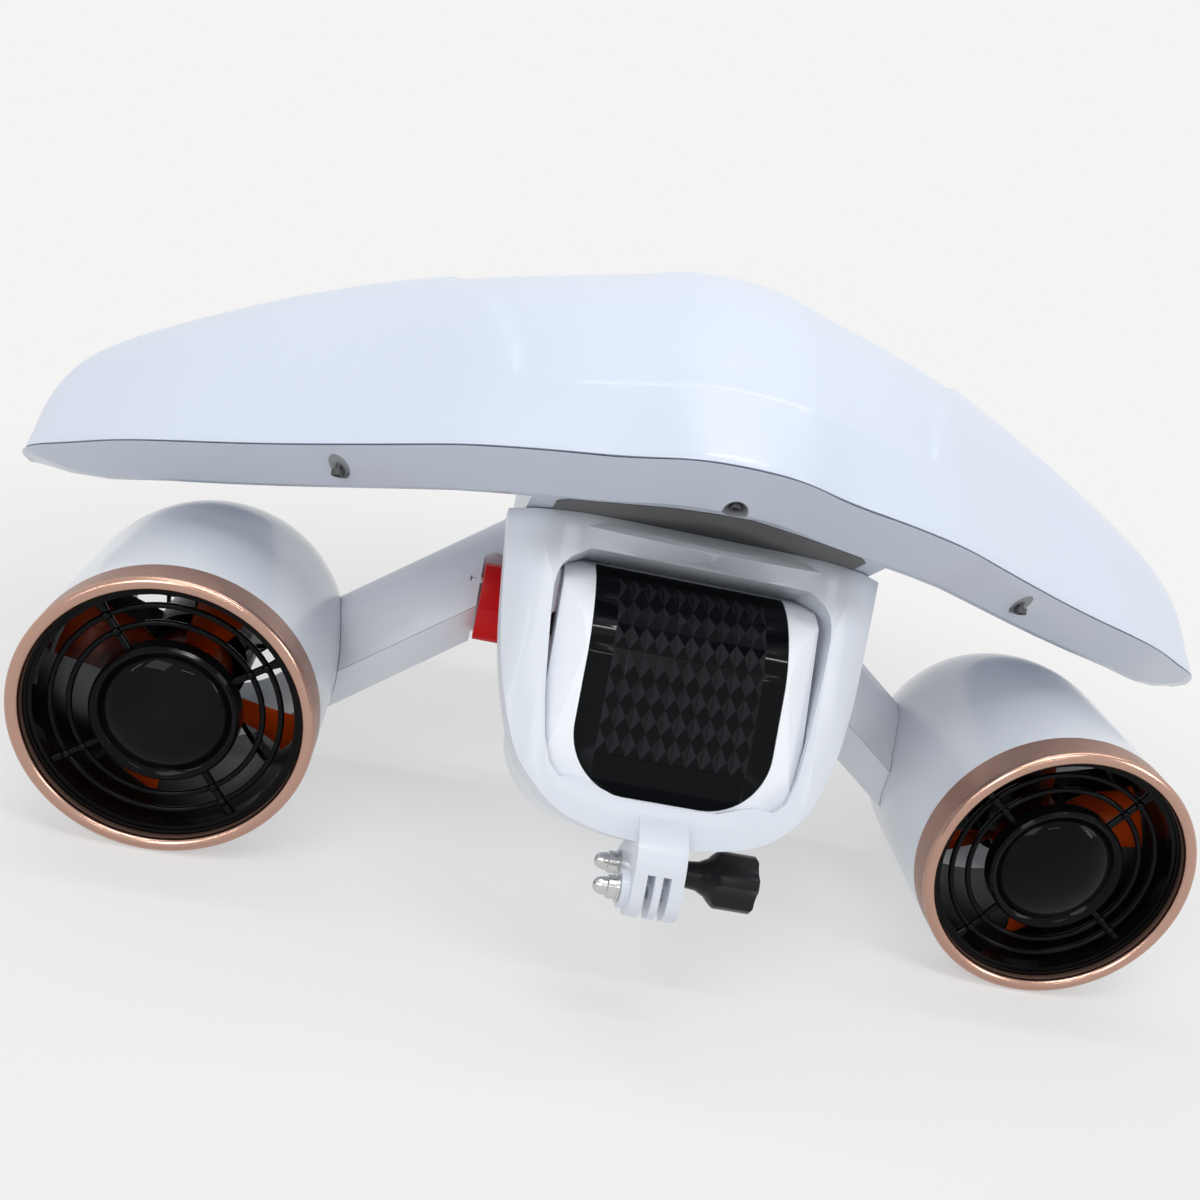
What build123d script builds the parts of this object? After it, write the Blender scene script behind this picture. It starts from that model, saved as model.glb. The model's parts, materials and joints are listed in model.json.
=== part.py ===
"""Underwater scooter: two ducted propellers, a centre housing with a slide-out battery,
two grip arms with triggers, and a swept float wing on a bracket with a camera fork.

Millimetres. X points to the right of someone who faces the duct mouths, Y points back and
Z up. The machine stands on z = 0 on the undersides of its ducts, centred in X and Y.
"""
import os
from math import atan2, cos, degrees, radians, sin, sqrt

from build123d import *

os.makedirs("parts", exist_ok=True)

# Overall layout
duct_radius = 65.0          # outside of the duct shell and of its bezel
duct_spacing = 414.0        # between the two duct axes
mouth_y = -48.3             # where the duct mouths stand, so that the part is centred in Y
body_tilt = 30.7            # nose-up pitch of housing, bracket and float from the duct axes
seam = 0.3                  # gap along visible joints between two mouldings
seat = 0.15                 # gap where a piece sits in another
run = 0.05                  # radial gap of a turning fit

# Duct
lip_radius = 3.0            # round of the bezel's lip
bezel_length = 15.0
shell_wall = 4.0
liner_wall = 3.4
liner_length = 92.0
shoulder_start = 96.0       # where the shell starts to close in behind
shoulder_radius = 80.0
shoulder_angle = 35.0
grille_depth = 9.0          # grille's middle plane, behind the mouth
grille_bar = 2.6            # bar width
grille_rings = (duct_radius - 24, duct_radius - 16)
dome_radius = 27.5
dome_height = 9.0
spoke_count = 4

# Propeller, motor and stator
shaft_radius = 4.0
hub_radius = 19.0
hub_length = 26.0
propeller_front = 29.0
blade_count = 4
blade_chord = 34.0
blade_thickness = 2.6
blade_pitch_root = 52.0     # blade angle from the disc plane
blade_pitch_tip = 24.0
tip_gap = 1.2
nut_across = 13.0
nut_height = 6.5
motor_radius = 21.5
motor_front = 60.0
motor_length = 38.0
stator_wall = 3.0
vane_count = 5
vane_thickness = 2.4
vane_front = 64.0
vane_length = 24.0
tail_length = 24.0
guard_back = 134.0          # outlet guard's plane, behind the mouth
guard_bar = 2.4
guard_rings = (duct_radius - 51, duct_radius - 35)

# Centre housing, in the body frame: x, back and height
housing_half_width = 54.0
housing_bottom = -12.0
housing_back = 108.0
nose_back = -76.0           # foremost point of the front
nose_height = 52.0
nose_round = 46.0           # round of the front's upper half
chin_back = -71.0
chin_height = 18.0
cheek = 9.5                 # how far the side panels fall back beside the cover
housing_corner = 36.0
pocket_gap = 0.5
rear_cover_thickness = 7.0

# Battery
cover_half_width = 40.5
cover_bottom = -1.0
cover_corner = 25.0
cover_back = -52.0
case_half_width = 38.0
case_bottom = 7.0
case_top = 88.0
case_back = 76.0
case_corner = 10.0          # round of the case's two lower corners
case_wall = 2.5
seal_back = -40.0           # front of the groove round the case
seal_width = 3.0
seal_groove = 1.0           # depth of the groove
cell_radius = 9.2
cell_length = 65.0
facet_width = 6.2
facet_height = 10.4
facet_rise = 1.4
facet_columns = 10
facet_rows = 7
facet_start = 14.0          # height of the lowest row's lower edge

# Release buttons on the housing's sides
release_back = -47.0
release_height = 64.0
release_length = 15.0
release_width = 10.0
release_proud = 1.2
release_travel = 2.5
leaf = 0.6                  # thickness of the leaf springs

# Arms: the parting line on the arm's front, behind the duct mouth and above its axis
arm_inner_x = 50.0
arm_outer_x = 154.0
arm_inner_back = 87.4
arm_inner_rise = 69.6
arm_outer_back = 70.5
arm_outer_rise = -6.0
arm_depth = 47.0
arm_up = 28.5
arm_down = 21.5
duct_seat = 0.2             # gap between an arm's end and the duct it is bonded to
cable_radius = 3.0
cable_bore = 4.0

# Triggers
trigger_x = 74.0            # middle of the trigger, on the arm's front
trigger_width = 15.0
trigger_low = 31.0          # above the duct axis
trigger_high = 67.0
trigger_front = 74.5        # behind the duct mouth
trigger_gap = 1.0
pocket_back = 100.5         # rear wall of the trigger's pocket
pin_radius = 1.5
pin_back = 93.0
pin_rise = 55.5

# Float wing, in the body frame
float_lift = 64.61          # of the parting line, over the height of the ducts' tops
float_wall = 3.0
tray_height = 12.5
tray_setback = 20.0
seal_height = 0.8
keel_half_width = 74.0      # of the flat middle of the float's underside
vault_slope = 0.4           # rise of the underside behind the lip, outside the flat middle
vault_start = 3.0           # behind the lip
screw_radius = 1.5
screw_head_radius = 2.8
screw_length = 14.0
screw_recess_radius = 4.6
screw_recess_depth = 4.0

# Bracket, in the body frame
bracket_rear = -46.0
leg_gap = 0.5               # under the float
saddle_gap = 0.3            # between the float and the housing's saddle
window_gap = 0.8            # between the bracket and the housing in it
ledge_rear = -52.0

# Camera fork
fork_gap = 3.2
fork_middle = 3.0
fork_side = 5.2
fork_back = -71.0           # axis of the camera screw
fork_height = -36.0
fork_radius = 10.0
camera_bore = 2.5
boss_thickness = 3.0
boss_radius = 7.6

# Clamp that holds the bracket on the housing's own lug
clamp_back = -43.0
clamp_height = -27.0
clamp_radius = 8.0
lug_plate = 3.0
lug_inner = 1.7             # from the middle plane to the lug plate
ear_side = 4.4
stud_radius = 2.5
knob_start = 14.0
knob_length = 34.0
knob_neck = 5.0
knob_head = 12.0
knob_lobes = 5
cap_nut_radius = 4.6

tilt_sin = sin(radians(body_tilt))
tilt_cos = cos(radians(body_tilt))
right_x = duct_spacing / 2
parting_height = float_lift + duct_radius * tilt_cos
saddle_height = parting_height - tray_height - saddle_gap
bracket_top = parting_height - tray_height - leg_gap
body = Plane(
    origin=(0, mouth_y, duct_radius), x_dir=(1, 0, 0), z_dir=(0, tilt_sin, tilt_cos)
)


def body_front(back):
    """Plane across the body frame, facing forward, drawn in x and height."""
    return Plane(origin=body.from_local_coords((0, back, 0)), x_dir=(1, 0, 0),
                 z_dir=-body.y_dir)


def body_side(x):
    """Plane along the body frame, facing right, drawn in back and height."""
    return Plane(origin=body.from_local_coords((x, 0, 0)), x_dir=body.y_dir,
                 z_dir=(1, 0, 0))


def duct_front(back):
    """Plane across the right duct's axis, facing forward, drawn in x and height."""
    return Plane(origin=(right_x, mouth_y + back, duct_radius), x_dir=(1, 0, 0),
                 z_dir=(0, -1, 0))


def duct_side(x):
    """Plane along a duct's axis, facing right, drawn in back and height."""
    return Plane(origin=(x, mouth_y, duct_radius), x_dir=(0, 1, 0), z_dir=(1, 0, 0))


duct_axis = Axis((right_x, mouth_y, duct_radius), (0, 1, 0))


def save(piece, name):
    """Writes one piece under its name."""
    piece.part.label = name
    export_step(piece.part, f"parts/{name}.step")


def save_pair(piece, name):
    """Writes a right-hand piece and its mirror image on the left."""
    with BuildPart() as twin:
        mirror(piece.part, about=Plane.YZ)
    save(piece, f"right_{name}")
    save(twin, f"left_{name}")


# Duct bezel: a band with a half-round lip
mouth_radius = duct_radius - 2 * lip_radius
shell_bore = duct_radius - shell_wall
lip_seat = lip_radius + 1.0
with BuildPart() as bezel:
    with BuildSketch(duct_side(right_x)):
        with BuildLine():
            ThreePointArc(
                (lip_radius - 2, duct_radius), (-2, duct_radius - lip_radius),
                (lip_radius - 2, mouth_radius),
            )
            Polyline(
                (lip_radius - 2, mouth_radius), (lip_seat, mouth_radius),
                (lip_seat, shell_bore), (bezel_length, shell_bore),
                (bezel_length, duct_radius), (lip_radius - 2, duct_radius),
            )
        make_face()
    revolve(axis=duct_axis)
save_pair(bezel, "bezel")

# Duct shell: a straight tube that closes in behind
shell_start = bezel_length + seam
with BuildPart() as duct_shell:
    with BuildSketch(duct_side(right_x)):
        with BuildLine():
            outer = Line((shell_start, duct_radius), (shoulder_start, duct_radius))
            outer_arc = JernArc(outer @ 1, (1, 0), shoulder_radius, -shoulder_angle)
            inner = Line((shell_start, shell_bore), (shoulder_start, shell_bore))
            inner_arc = JernArc(
                inner @ 1, (1, 0), shoulder_radius - shell_wall, -shoulder_angle
            )
            Line(outer_arc @ 1, inner_arc @ 1)
            Line(outer @ 0, inner @ 0)
        make_face()
    revolve(axis=duct_axis)
save_pair(duct_shell, "duct_shell")

# Liner inside the shell
liner_radius = shell_bore - seat
channel_radius = liner_radius - liner_wall
with BuildPart() as liner:
    with BuildSketch(duct_front(lip_seat + seat)):
        Circle(liner_radius)
        Circle(channel_radius, mode=Mode.SUBTRACT)
    extrude(amount=-liner_length)
save_pair(liner, "duct_liner")

# Inlet grille: a rim, two rings, four spokes and the seat of the dome
hub_seat_radius = dome_radius - 1.5
rim_radius = channel_radius - seat
grille_origin = duct_front(grille_depth).origin
with BuildPart() as grille:
    for ring in grille_rings:
        with BuildSketch(duct_side(right_x)):
            with Locations((grille_depth, ring)):
                RegularPolygon(grille_bar / 2, 6)
        revolve(axis=duct_axis)
    with BuildSketch(duct_front(grille_depth + 4)):
        Circle(rim_radius)
        Circle(rim_radius - 2, mode=Mode.SUBTRACT)
        Circle(hub_seat_radius)
        Circle(hub_seat_radius - 3, mode=Mode.SUBTRACT)
    extrude(amount=6)
    for i in range(spoke_count):
        turn = radians(45 + 360 / spoke_count * i)
        spoke = Plane(origin=grille_origin, z_dir=(cos(turn), 0, sin(turn)))
        with BuildSketch(spoke.offset(hub_seat_radius - 2)):
            RegularPolygon(grille_bar * 0.6, 6)
        extrude(amount=rim_radius - hub_seat_radius + 1)
save_pair(grille, "inlet_grille")

# Nose dome on the grille's hub
dome_back = grille_depth - 2 - seat
with BuildPart() as dome:
    with BuildSketch(duct_side(right_x)):
        with BuildLine():
            Polyline((dome_back - dome_height, 0), (dome_back, 0),
                     (dome_back, dome_radius))
            Bezier(
                (dome_back, dome_radius), (dome_back - dome_height * 0.6, dome_radius * 0.9),
                (dome_back - dome_height, dome_radius * 0.45), (dome_back - dome_height, 0),
            )
        make_face()
    revolve(axis=duct_axis)
save_pair(dome, "nose_dome")

# Propeller: a hub with twisted blades
blade_tip = channel_radius - tip_gap
blade_root = hub_radius - 3
hub_middle = Vector(right_x, mouth_y + propeller_front + hub_length / 2, duct_radius)
with BuildPart() as propeller:
    for i in range(blade_count):
        turn = radians(360 / blade_count * i + 20)
        out = Vector(cos(turn), 0, sin(turn))
        around = Vector(-sin(turn), 0, cos(turn))
        for share in (0.0, 0.5, 1.0):
            reach = blade_root + (blade_tip + 2 - blade_root) * share
            pitch = radians(blade_pitch_root + (blade_pitch_tip - blade_pitch_root) * share)
            chord_dir = around * cos(pitch) + Vector(0, 1, 0) * sin(pitch)
            with BuildSketch(Plane(origin=hub_middle + out * reach, x_dir=chord_dir,
                                   z_dir=out)):
                Ellipse(blade_chord * (0.62 + 0.38 * share) / 2,
                        blade_thickness / 2 * (1.25 - 0.5 * share))
        loft()
    with BuildSketch(duct_front(propeller_front)):
        Circle(hub_radius)
    extrude(amount=-hub_length)
    with BuildSketch(duct_front(propeller_front)):
        Circle(blade_tip)
    extrude(amount=-hub_length, mode=Mode.INTERSECT)
    with BuildSketch(duct_front(propeller_front)):
        Circle(shaft_radius + run)
    extrude(amount=-hub_length, mode=Mode.SUBTRACT)
save_pair(propeller, "propeller")

# Shaft and propeller nut
shaft_front = propeller_front - nut_height - 2
motor_end = motor_front + motor_length
with BuildPart() as shaft:
    with BuildSketch(duct_front(shaft_front)):
        Circle(shaft_radius)
    extrude(amount=-(motor_end + 4 - shaft_front))
    chamfer(shaft.edges().filter_by(GeomType.CIRCLE).sort_by(Axis.Y)[0], 0.8)
save_pair(shaft, "propeller_shaft")

with BuildPart() as nut:
    with BuildSketch(duct_front(propeller_front - seat)):
        RegularPolygon(nut_across / 2, 6, major_radius=False)
        Circle(shaft_radius + run, mode=Mode.SUBTRACT)
    extrude(amount=nut_height)
save_pair(nut, "propeller_nut")

# Motor can
with BuildPart() as motor:
    with BuildSketch(duct_front(motor_front)):
        Circle(motor_radius)
        Circle(shaft_radius + run, mode=Mode.SUBTRACT)
    extrude(amount=-motor_length)
    rims = motor.edges().filter_by(GeomType.CIRCLE).sort_by(SortBy.RADIUS)[-2:]
    chamfer(rims, 1.2)
save_pair(motor, "motor")

# Stator: a cup for the motor, vanes out to the liner and a tail cone
stator_bore = motor_radius + seat
stator_radius = stator_bore + stator_wall
cup_end = motor_end + 6
with BuildPart() as stator:
    with BuildSketch(duct_side(right_x)):
        with BuildLine():
            Polyline(
                (motor_front, stator_radius), (motor_front, stator_bore),
                (motor_end + seat, stator_bore), (motor_end + seat, shaft_radius + 2),
                (cup_end, shaft_radius + 2), (cup_end, 0), (cup_end + tail_length, 0),
                (cup_end + tail_length, 6),
            )
            Bezier(
                (cup_end + tail_length, 6), (cup_end + tail_length * 0.6, 16),
                (cup_end + 4, stator_radius), (motor_end - 4, stator_radius),
            )
            Line((motor_end - 4, stator_radius), (motor_front, stator_radius))
        make_face()
    revolve(axis=duct_axis)
    for i in range(vane_count):
        turn = radians(360 / vane_count * i + 90)
        out = Vector(cos(turn), 0, sin(turn))
        around = Vector(-sin(turn), 0, cos(turn))
        lean = radians(14)
        along = Vector(0, 1, 0) * cos(lean) + around * sin(lean)
        middle = duct_front(vane_front + vane_length / 2).origin
        with BuildSketch(Plane(origin=middle + out * (stator_radius - 1), x_dir=along,
                               z_dir=out)):
            SlotOverall(vane_length, vane_thickness)
        extrude(amount=channel_radius - stator_radius + 0.5)
save_pair(stator, "stator")

# Outlet guard: two rings on four spokes inside the shell's end
guard_drop = guard_back + guard_bar / 2 - shoulder_start
inner_round = shoulder_radius - shell_wall
guard_reach = shell_bore - inner_round + sqrt(inner_round ** 2 - guard_drop ** 2) - seat
guard_origin = duct_front(guard_back).origin
with BuildPart() as guard:
    for ring in guard_rings:
        with BuildSketch(duct_side(right_x)):
            with Locations((guard_back, ring)):
                RegularPolygon(guard_bar / 2, 6)
        revolve(axis=duct_axis)
    for i in range(spoke_count):
        turn = radians(360 / spoke_count * i)
        spoke = Plane(origin=guard_origin, z_dir=(cos(turn), 0, sin(turn)))
        with BuildSketch(spoke.offset(guard_rings[0] - 1)):
            RegularPolygon(guard_bar / 2, 6)
        extrude(amount=guard_reach - guard_rings[0] + 0.8)
save_pair(guard, "outlet_guard")


# Forms that several pieces are cut with
def duct_form(grow):
    """The right duct's outer form without its bore, grown by a clearance."""
    with BuildPart() as form:
        with BuildSketch(duct_side(right_x)):
            with BuildLine():
                side = Line((-5, duct_radius + grow), (shoulder_start, duct_radius + grow))
                turn_in = JernArc(
                    side @ 1, (1, 0), shoulder_radius + grow, -shoulder_angle
                )
                end_point = turn_in @ 1
                Polyline(end_point, (end_point.X, 0), (-5, 0), side @ 0)
            make_face()
        revolve(axis=duct_axis)
    return form.part


def housing_form(grow):
    """The centre housing's outer form without its arm bridge, grown by a clearance."""
    half = housing_half_width + grow
    low = housing_bottom - grow
    high = saddle_height + grow
    radius = nose_round + grow
    nose_centre = nose_back + nose_round
    with BuildPart() as form:
        with BuildSketch(body_side(-half)):
            with BuildLine():
                nose = ThreePointArc(
                    (nose_centre, nose_height + radius),
                    (nose_centre - radius * sqrt(0.5), nose_height + radius * sqrt(0.5)),
                    (nose_centre - radius, nose_height),
                )
                Polyline(
                    nose @ 1, (chin_back - grow, chin_height), (chin_back + 3 - grow, 4),
                    (chin_back + 12, low), (58, low), (housing_back + grow, 38),
                    (housing_back + grow, 92), (84, high + 8.3), (60, high + 8.3), (34, high),
                    (-4, high), (nose_centre + 4, nose_height + radius), nose @ 0,
                )
            make_face()
        extrude(amount=2 * half)
        with BuildSketch(body_front(-90)):
            with BuildLine():
                FilletPolyline(
                    (-half, 125), (-half, low), (half, low), (half, 125),
                    radius=housing_corner,
                )
                Line((half, 125), (-half, 125))
            make_face()
        extrude(amount=-(housing_back + 110), mode=Mode.INTERSECT)
        with BuildSketch(body.offset(low - 5)):
            with BuildLine():
                Polyline(
                    (-half, housing_back + 9), (-half, nose_back + cheek - grow),
                    (-cover_half_width - 1.5, nose_back - grow),
                    (cover_half_width + 1.5, nose_back - grow),
                    (half, nose_back + cheek - grow), (half, housing_back + 9), close=True,
                )
            make_face()
        extrude(amount=150, mode=Mode.INTERSECT)
    return form.part


def cover_outline(grow):
    """Front view of the battery's cover, grown by a clearance."""
    wide = cover_half_width + grow
    low = cover_bottom - grow
    with BuildLine() as outline:
        FilletPolyline(
            (-wide, 120), (-wide, low), (wide, low), (wide, 120),
            radius=cover_corner + grow,
        )
        Line((wide, 120), (-wide, 120))
    return outline.line


def case_outline(grow):
    """Section of the battery case, grown by a clearance, rounded to pass the cover's opening."""
    wide = case_half_width + grow
    low = case_bottom - grow
    high = case_top + grow
    with BuildLine() as outline:
        FilletPolyline(
            (-wide, high), (-wide, low), (wide, low), (wide, high),
            radius=case_corner + grow,
        )
        Line((wide, high), (-wide, high))
    return outline.line


def arm_points(x, upper):
    """Section of an arm half at x, drawn behind the duct mouth and above its axis."""
    share = (x - arm_inner_x) / (arm_outer_x - arm_inner_x)
    back = arm_inner_back + (arm_outer_back - arm_inner_back) * share
    rise = arm_inner_rise + (arm_outer_rise - arm_inner_rise) * share
    half = seam / 2
    if upper:
        shape = [
            (0, half), (12, 14.5), (25, 25.5), (35, arm_up), (arm_depth - 5, arm_up - 1),
            (arm_depth, arm_up - 7), (arm_depth, half),
        ]
    else:
        shape = [
            (0, -half), (arm_depth, -half), (arm_depth - 3, -14), (30, -arm_down),
            (7, -arm_down), (1.5, -8),
        ]
    return [(back + step, rise + lift) for step, lift in shape]


# Centre housing
with BuildPart() as housing:
    add(housing_form(0))
    for upper in (True, False):
        with BuildSketch(duct_side(-housing_half_width)):
            with BuildLine():
                Polyline(*arm_points(arm_inner_x, upper), close=True)
            make_face()
        extrude(amount=2 * housing_half_width)
    with BuildSketch(duct_side(-housing_half_width)):
        with Locations((arm_inner_back + arm_depth / 2, arm_inner_rise)):
            Rectangle(arm_depth - 6, 6)
    extrude(amount=2 * housing_half_width)
    with BuildSketch(body_front(cover_back)):
        add(cover_outline(seam))
        make_face()
    extrude(amount=60, mode=Mode.SUBTRACT)
    with BuildSketch(body_front(cover_back - 1)):
        add(case_outline(pocket_gap))
        make_face()
    extrude(amount=-(case_back + pocket_gap - cover_back + 1), mode=Mode.SUBTRACT)
    with BuildSketch(body_front(case_back + 6)):
        with Locations((0, 66)):
            Rectangle(80, 46)
    extrude(amount=-60, mode=Mode.SUBTRACT)
    with BuildSketch(body_front(housing_back - rear_cover_thickness)):
        with Locations((0, 66)):
            Rectangle(90, 56)
    extrude(amount=-60, mode=Mode.SUBTRACT)
    for side in (-1, 1):
        with BuildSketch(body_side(side * lug_inner)):
            with BuildLine():
                Polyline(
                    (clamp_back - clamp_radius, clamp_height),
                    (clamp_back - clamp_radius, housing_bottom + 2),
                    (clamp_back + clamp_radius + 6, housing_bottom + 2),
                    (clamp_back + clamp_radius, clamp_height),
                )
                ThreePointArc(
                    (clamp_back + clamp_radius, clamp_height),
                    (clamp_back, clamp_height - clamp_radius),
                    (clamp_back - clamp_radius, clamp_height),
                )
            make_face()
        extrude(amount=side * lug_plate)
    with BuildSketch(body_side(-20)):
        with Locations((clamp_back, clamp_height)):
            Circle(stud_radius + run)
    extrude(amount=40, mode=Mode.SUBTRACT)
    for side in (-1, 1):
        with BuildSketch(body_side(side * (housing_half_width - 5.5))):
            with Locations((release_back, release_height)):
                Rectangle(release_length + 1, release_width + 1)
        extrude(amount=side * 10, mode=Mode.SUBTRACT)
save(housing, "centre_housing")

# Battery: a case with its cells, and the cover that is the scooter's nose
with BuildPart() as case:
    with BuildSketch(body_front(cover_back + 0.2)):
        add(case_outline(0))
        make_face()
    extrude(amount=-(case_back - cover_back - 0.2))
    with BuildSketch(body_front(cover_back + 0.2)):
        add(case_outline(-case_wall))
        make_face()
    extrude(amount=-(case_back - cover_back - case_wall), mode=Mode.SUBTRACT)
    with BuildSketch(body_front(seal_back)):
        add(case_outline(1))
        make_face()
        add(case_outline(-seal_groove))
        make_face(mode=Mode.SUBTRACT)
    extrude(amount=-seal_width, mode=Mode.SUBTRACT)
save(case, "battery_case")

with BuildPart() as battery_seal:
    with BuildSketch(body_front(seal_back + 0.1)):
        add(case_outline(pocket_gap - 0.1))
        make_face()
        add(case_outline(0.1 - seal_groove))
        make_face(mode=Mode.SUBTRACT)
    extrude(amount=0.2 - seal_width)
save(battery_seal, "battery_seal")

cell_pitch = 2 * cell_radius + 0.3
cell_columns = 3
cell_rows = 5
cell_back = case_back - case_wall - cell_radius - 0.4
with BuildPart() as cells:
    for row in range(cell_rows):
        for column in range(cell_columns):
            across = (column - (cell_columns - 1) / 2) * cell_pitch
            with BuildSketch(body.offset(case_bottom + case_wall + 0.1)):
                with Locations((across, cell_back - row * cell_pitch)):
                    Circle(cell_radius)
            extrude(amount=cell_length)
save(cells, "battery_cells")

with BuildPart() as contacts:
    for across in (-18, -6, 6, 18):
        with BuildSketch(body_front(case_back)):
            with Locations((across, 20)):
                Rectangle(7, 12)
        extrude(amount=-0.4)
save(contacts, "battery_contacts")


def facet_point(x, height, lift):
    """Point on the cover's curved front, lifted by the relief."""
    if height < nose_height:
        share = (height - chin_height) / (nose_height - chin_height)
        back = chin_back + (nose_back - chin_back) * share
        tip = Vector(x, back - lift, height)
    else:
        centre = nose_back + nose_round
        drop = min(height - nose_height, nose_round * 0.95)
        spread = sqrt(nose_round ** 2 - drop ** 2)
        out = Vector(0, -spread / nose_round, drop / nose_round)
        tip = Vector(x, centre - spread, nose_height + drop) + out * lift
    return body.from_local_coords(tip)


facet_faces = []
facet_left = -facet_width * facet_columns / 2
for row in range(facet_rows):
    low = facet_start + row * facet_height
    high = low + facet_height
    for column in range(facet_columns):
        left = facet_left + column * facet_width
        right = left + facet_width
        corners = [
            facet_point(left, low, 0.1), facet_point(right, low, 0.1),
            facet_point(right, high, 0.1), facet_point(left, high, 0.1),
        ]
        peak = facet_point((left + right) / 2, (low + high) / 2, facet_rise)
        for i in range(4):
            facet_faces.append(Face(Wire.make_polygon([corners[i], corners[i - 3], peak])))
    back_corners = [
        facet_point(facet_left, low, -1), facet_point(-facet_left, low, -1),
        facet_point(-facet_left, high, -1), facet_point(facet_left, high, -1),
    ]
    facet_faces.append(Face(Wire.make_polygon(back_corners)))
    for side in (facet_left, -facet_left):
        facet_faces.append(Face(Wire.make_polygon([
            facet_point(side, low, 0.1), facet_point(side, high, 0.1),
            facet_point(side, high, -1), facet_point(side, low, -1),
        ])))
facet_high = facet_start + facet_rows * facet_height
for height in (facet_start, facet_high):
    edge = [
        facet_point(facet_left + facet_width * i, height, 0.1)
        for i in range(facet_columns + 1)
    ]
    edge += [facet_point(-facet_left, height, -1), facet_point(facet_left, height, -1)]
    facet_faces.append(Face(Wire.make_polygon(edge)))
facet_field = Solid(Shell(facet_faces))

with BuildPart() as cover:
    add(housing_form(0))
    with BuildSketch(body_front(cover_back)):
        add(cover_outline(0))
        make_face()
    extrude(amount=60, mode=Mode.INTERSECT)
    add(facet_field)
save(cover, "battery_cover")

# Rear cover with the display window and the power button
rear_middle = 66
window_x = -20
button_x = 24
with BuildPart() as rear_cover:
    with BuildSketch(body_front(housing_back)):
        with Locations((0, rear_middle)):
            Rectangle(90 - 2 * seam, 56 - 2 * seam)
    extrude(amount=rear_cover_thickness - seat)
    with BuildSketch(body_front(housing_back + 1)):
        with Locations((window_x, rear_middle)):
            Rectangle(32, 14)
    extrude(amount=3, mode=Mode.SUBTRACT)
    with BuildSketch(body_front(housing_back + 1)):
        with Locations((button_x, rear_middle)):
            Circle(7)
    extrude(amount=5.5, mode=Mode.SUBTRACT)
save(rear_cover, "rear_cover")

with BuildPart() as window:
    with BuildSketch(body_front(housing_back)):
        with Locations((window_x, rear_middle)):
            Rectangle(32 - 2 * seat, 14 - 2 * seat)
    extrude(amount=2 - seat / 2)
save(window, "display_window")

with BuildPart() as power_button:
    with BuildSketch(body_front(housing_back + 1)):
        with Locations((button_x, rear_middle)):
            Circle(7 - seat)
    extrude(amount=4.3)
    chamfer(power_button.edges().sort_by(Axis(origin=(0, 0, 0), direction=body.y_dir))[-1],
            0.6)
save(power_button, "power_button")

with BuildPart() as board:
    with BuildSketch(body_front(case_back + 14)):
        with Locations((0, rear_middle)):
            Rectangle(80 - 0.4, 40)
    extrude(amount=1.6)
    with BuildSketch(body_front(case_back + 12.4)):
        with Locations((-22, rear_middle)):
            Rectangle(12, 12)
        with Locations((8, rear_middle - 4)):
            Rectangle(16, 10)
    extrude(amount=3.4)
save(board, "control_board")

# Release buttons and the leaf springs behind them
button_in = housing_half_width - 5.5
with BuildPart() as release:
    with BuildSketch(body_side(button_in + release_travel + 0.1)):
        with Locations((release_back, release_height)):
            Rectangle(release_length, release_width)
    extrude(amount=5.5 - release_travel - 0.1 + release_proud)
    chamfer(release.faces().sort_by(Axis.X)[-1].edges(), 0.5)
save_pair(release, "release_button")

with BuildPart() as release_spring:
    base_x = button_in + 0.05
    top_x = button_in + release_travel
    with BuildSketch(body.offset(release_height - 3)):
        with BuildLine():
            Polyline(
                (base_x, release_back - 6.5), (top_x, release_back - 0.5),
                (top_x, release_back + 0.5), (base_x, release_back + 6.5),
                (base_x, release_back + 5), (top_x - leaf, release_back),
                (base_x, release_back - 5), close=True,
            )
        make_face()
    extrude(amount=6)
save_pair(release_spring, "release_spring")

# Arms: two halves that part along a line, with the cable between them
arm_start = housing_half_width + seam
arm_cut = duct_form(duct_seat)


def cable_point(x):
    """Point on the cable's axis inside the arm."""
    share = (x - arm_inner_x) / (arm_outer_x - arm_inner_x)
    back = arm_inner_back + (arm_outer_back - arm_inner_back) * share
    rise = arm_inner_rise + (arm_outer_rise - arm_inner_rise) * share
    return Vector(x, mouth_y + back + 26, duct_radius + rise)


cable_start = cable_point(arm_start)
cable_run = cable_point(arm_outer_x) - cable_start
cable_plane = Plane(origin=cable_start, z_dir=cable_run)


def arm_half(upper):
    """One half of the right arm."""
    with BuildPart() as half:
        for x in (arm_start, arm_outer_x):
            with BuildSketch(duct_side(x)):
                with BuildLine():
                    Polyline(*arm_points(x, upper), close=True)
                make_face()
        loft(ruled=True)
        add(arm_cut, mode=Mode.SUBTRACT)
        with BuildSketch(cable_plane.offset(-10)):
            Circle(cable_bore)
        extrude(amount=cable_run.length + 20, mode=Mode.SUBTRACT)
        with BuildSketch(duct_side(trigger_x - trigger_width / 2 - trigger_gap)):
            with BuildLine():
                Polyline(
                    (60, 20), (pocket_back, 20), (pocket_back, trigger_high + 1.8),
                    (60, trigger_high + 1.8), close=True,
                )
            make_face()
        extrude(amount=trigger_width + 2 * trigger_gap, mode=Mode.SUBTRACT)
        with BuildSketch(duct_side(trigger_x - trigger_width / 2 - trigger_gap - 5)):
            with Locations((pin_back, pin_rise)):
                Circle(pin_radius + run)
        extrude(amount=trigger_width + 2 * trigger_gap + 10, mode=Mode.SUBTRACT)
    return half


save_pair(arm_half(True), "arm_upper")
save_pair(arm_half(False), "arm_lower")

with BuildPart() as cable:
    with BuildSketch(cable_plane.offset(2.5)):
        Circle(cable_radius)
    extrude(amount=cable_run.length - 12)
    add(arm_cut, mode=Mode.SUBTRACT)
save_pair(cable, "motor_cable")

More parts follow.
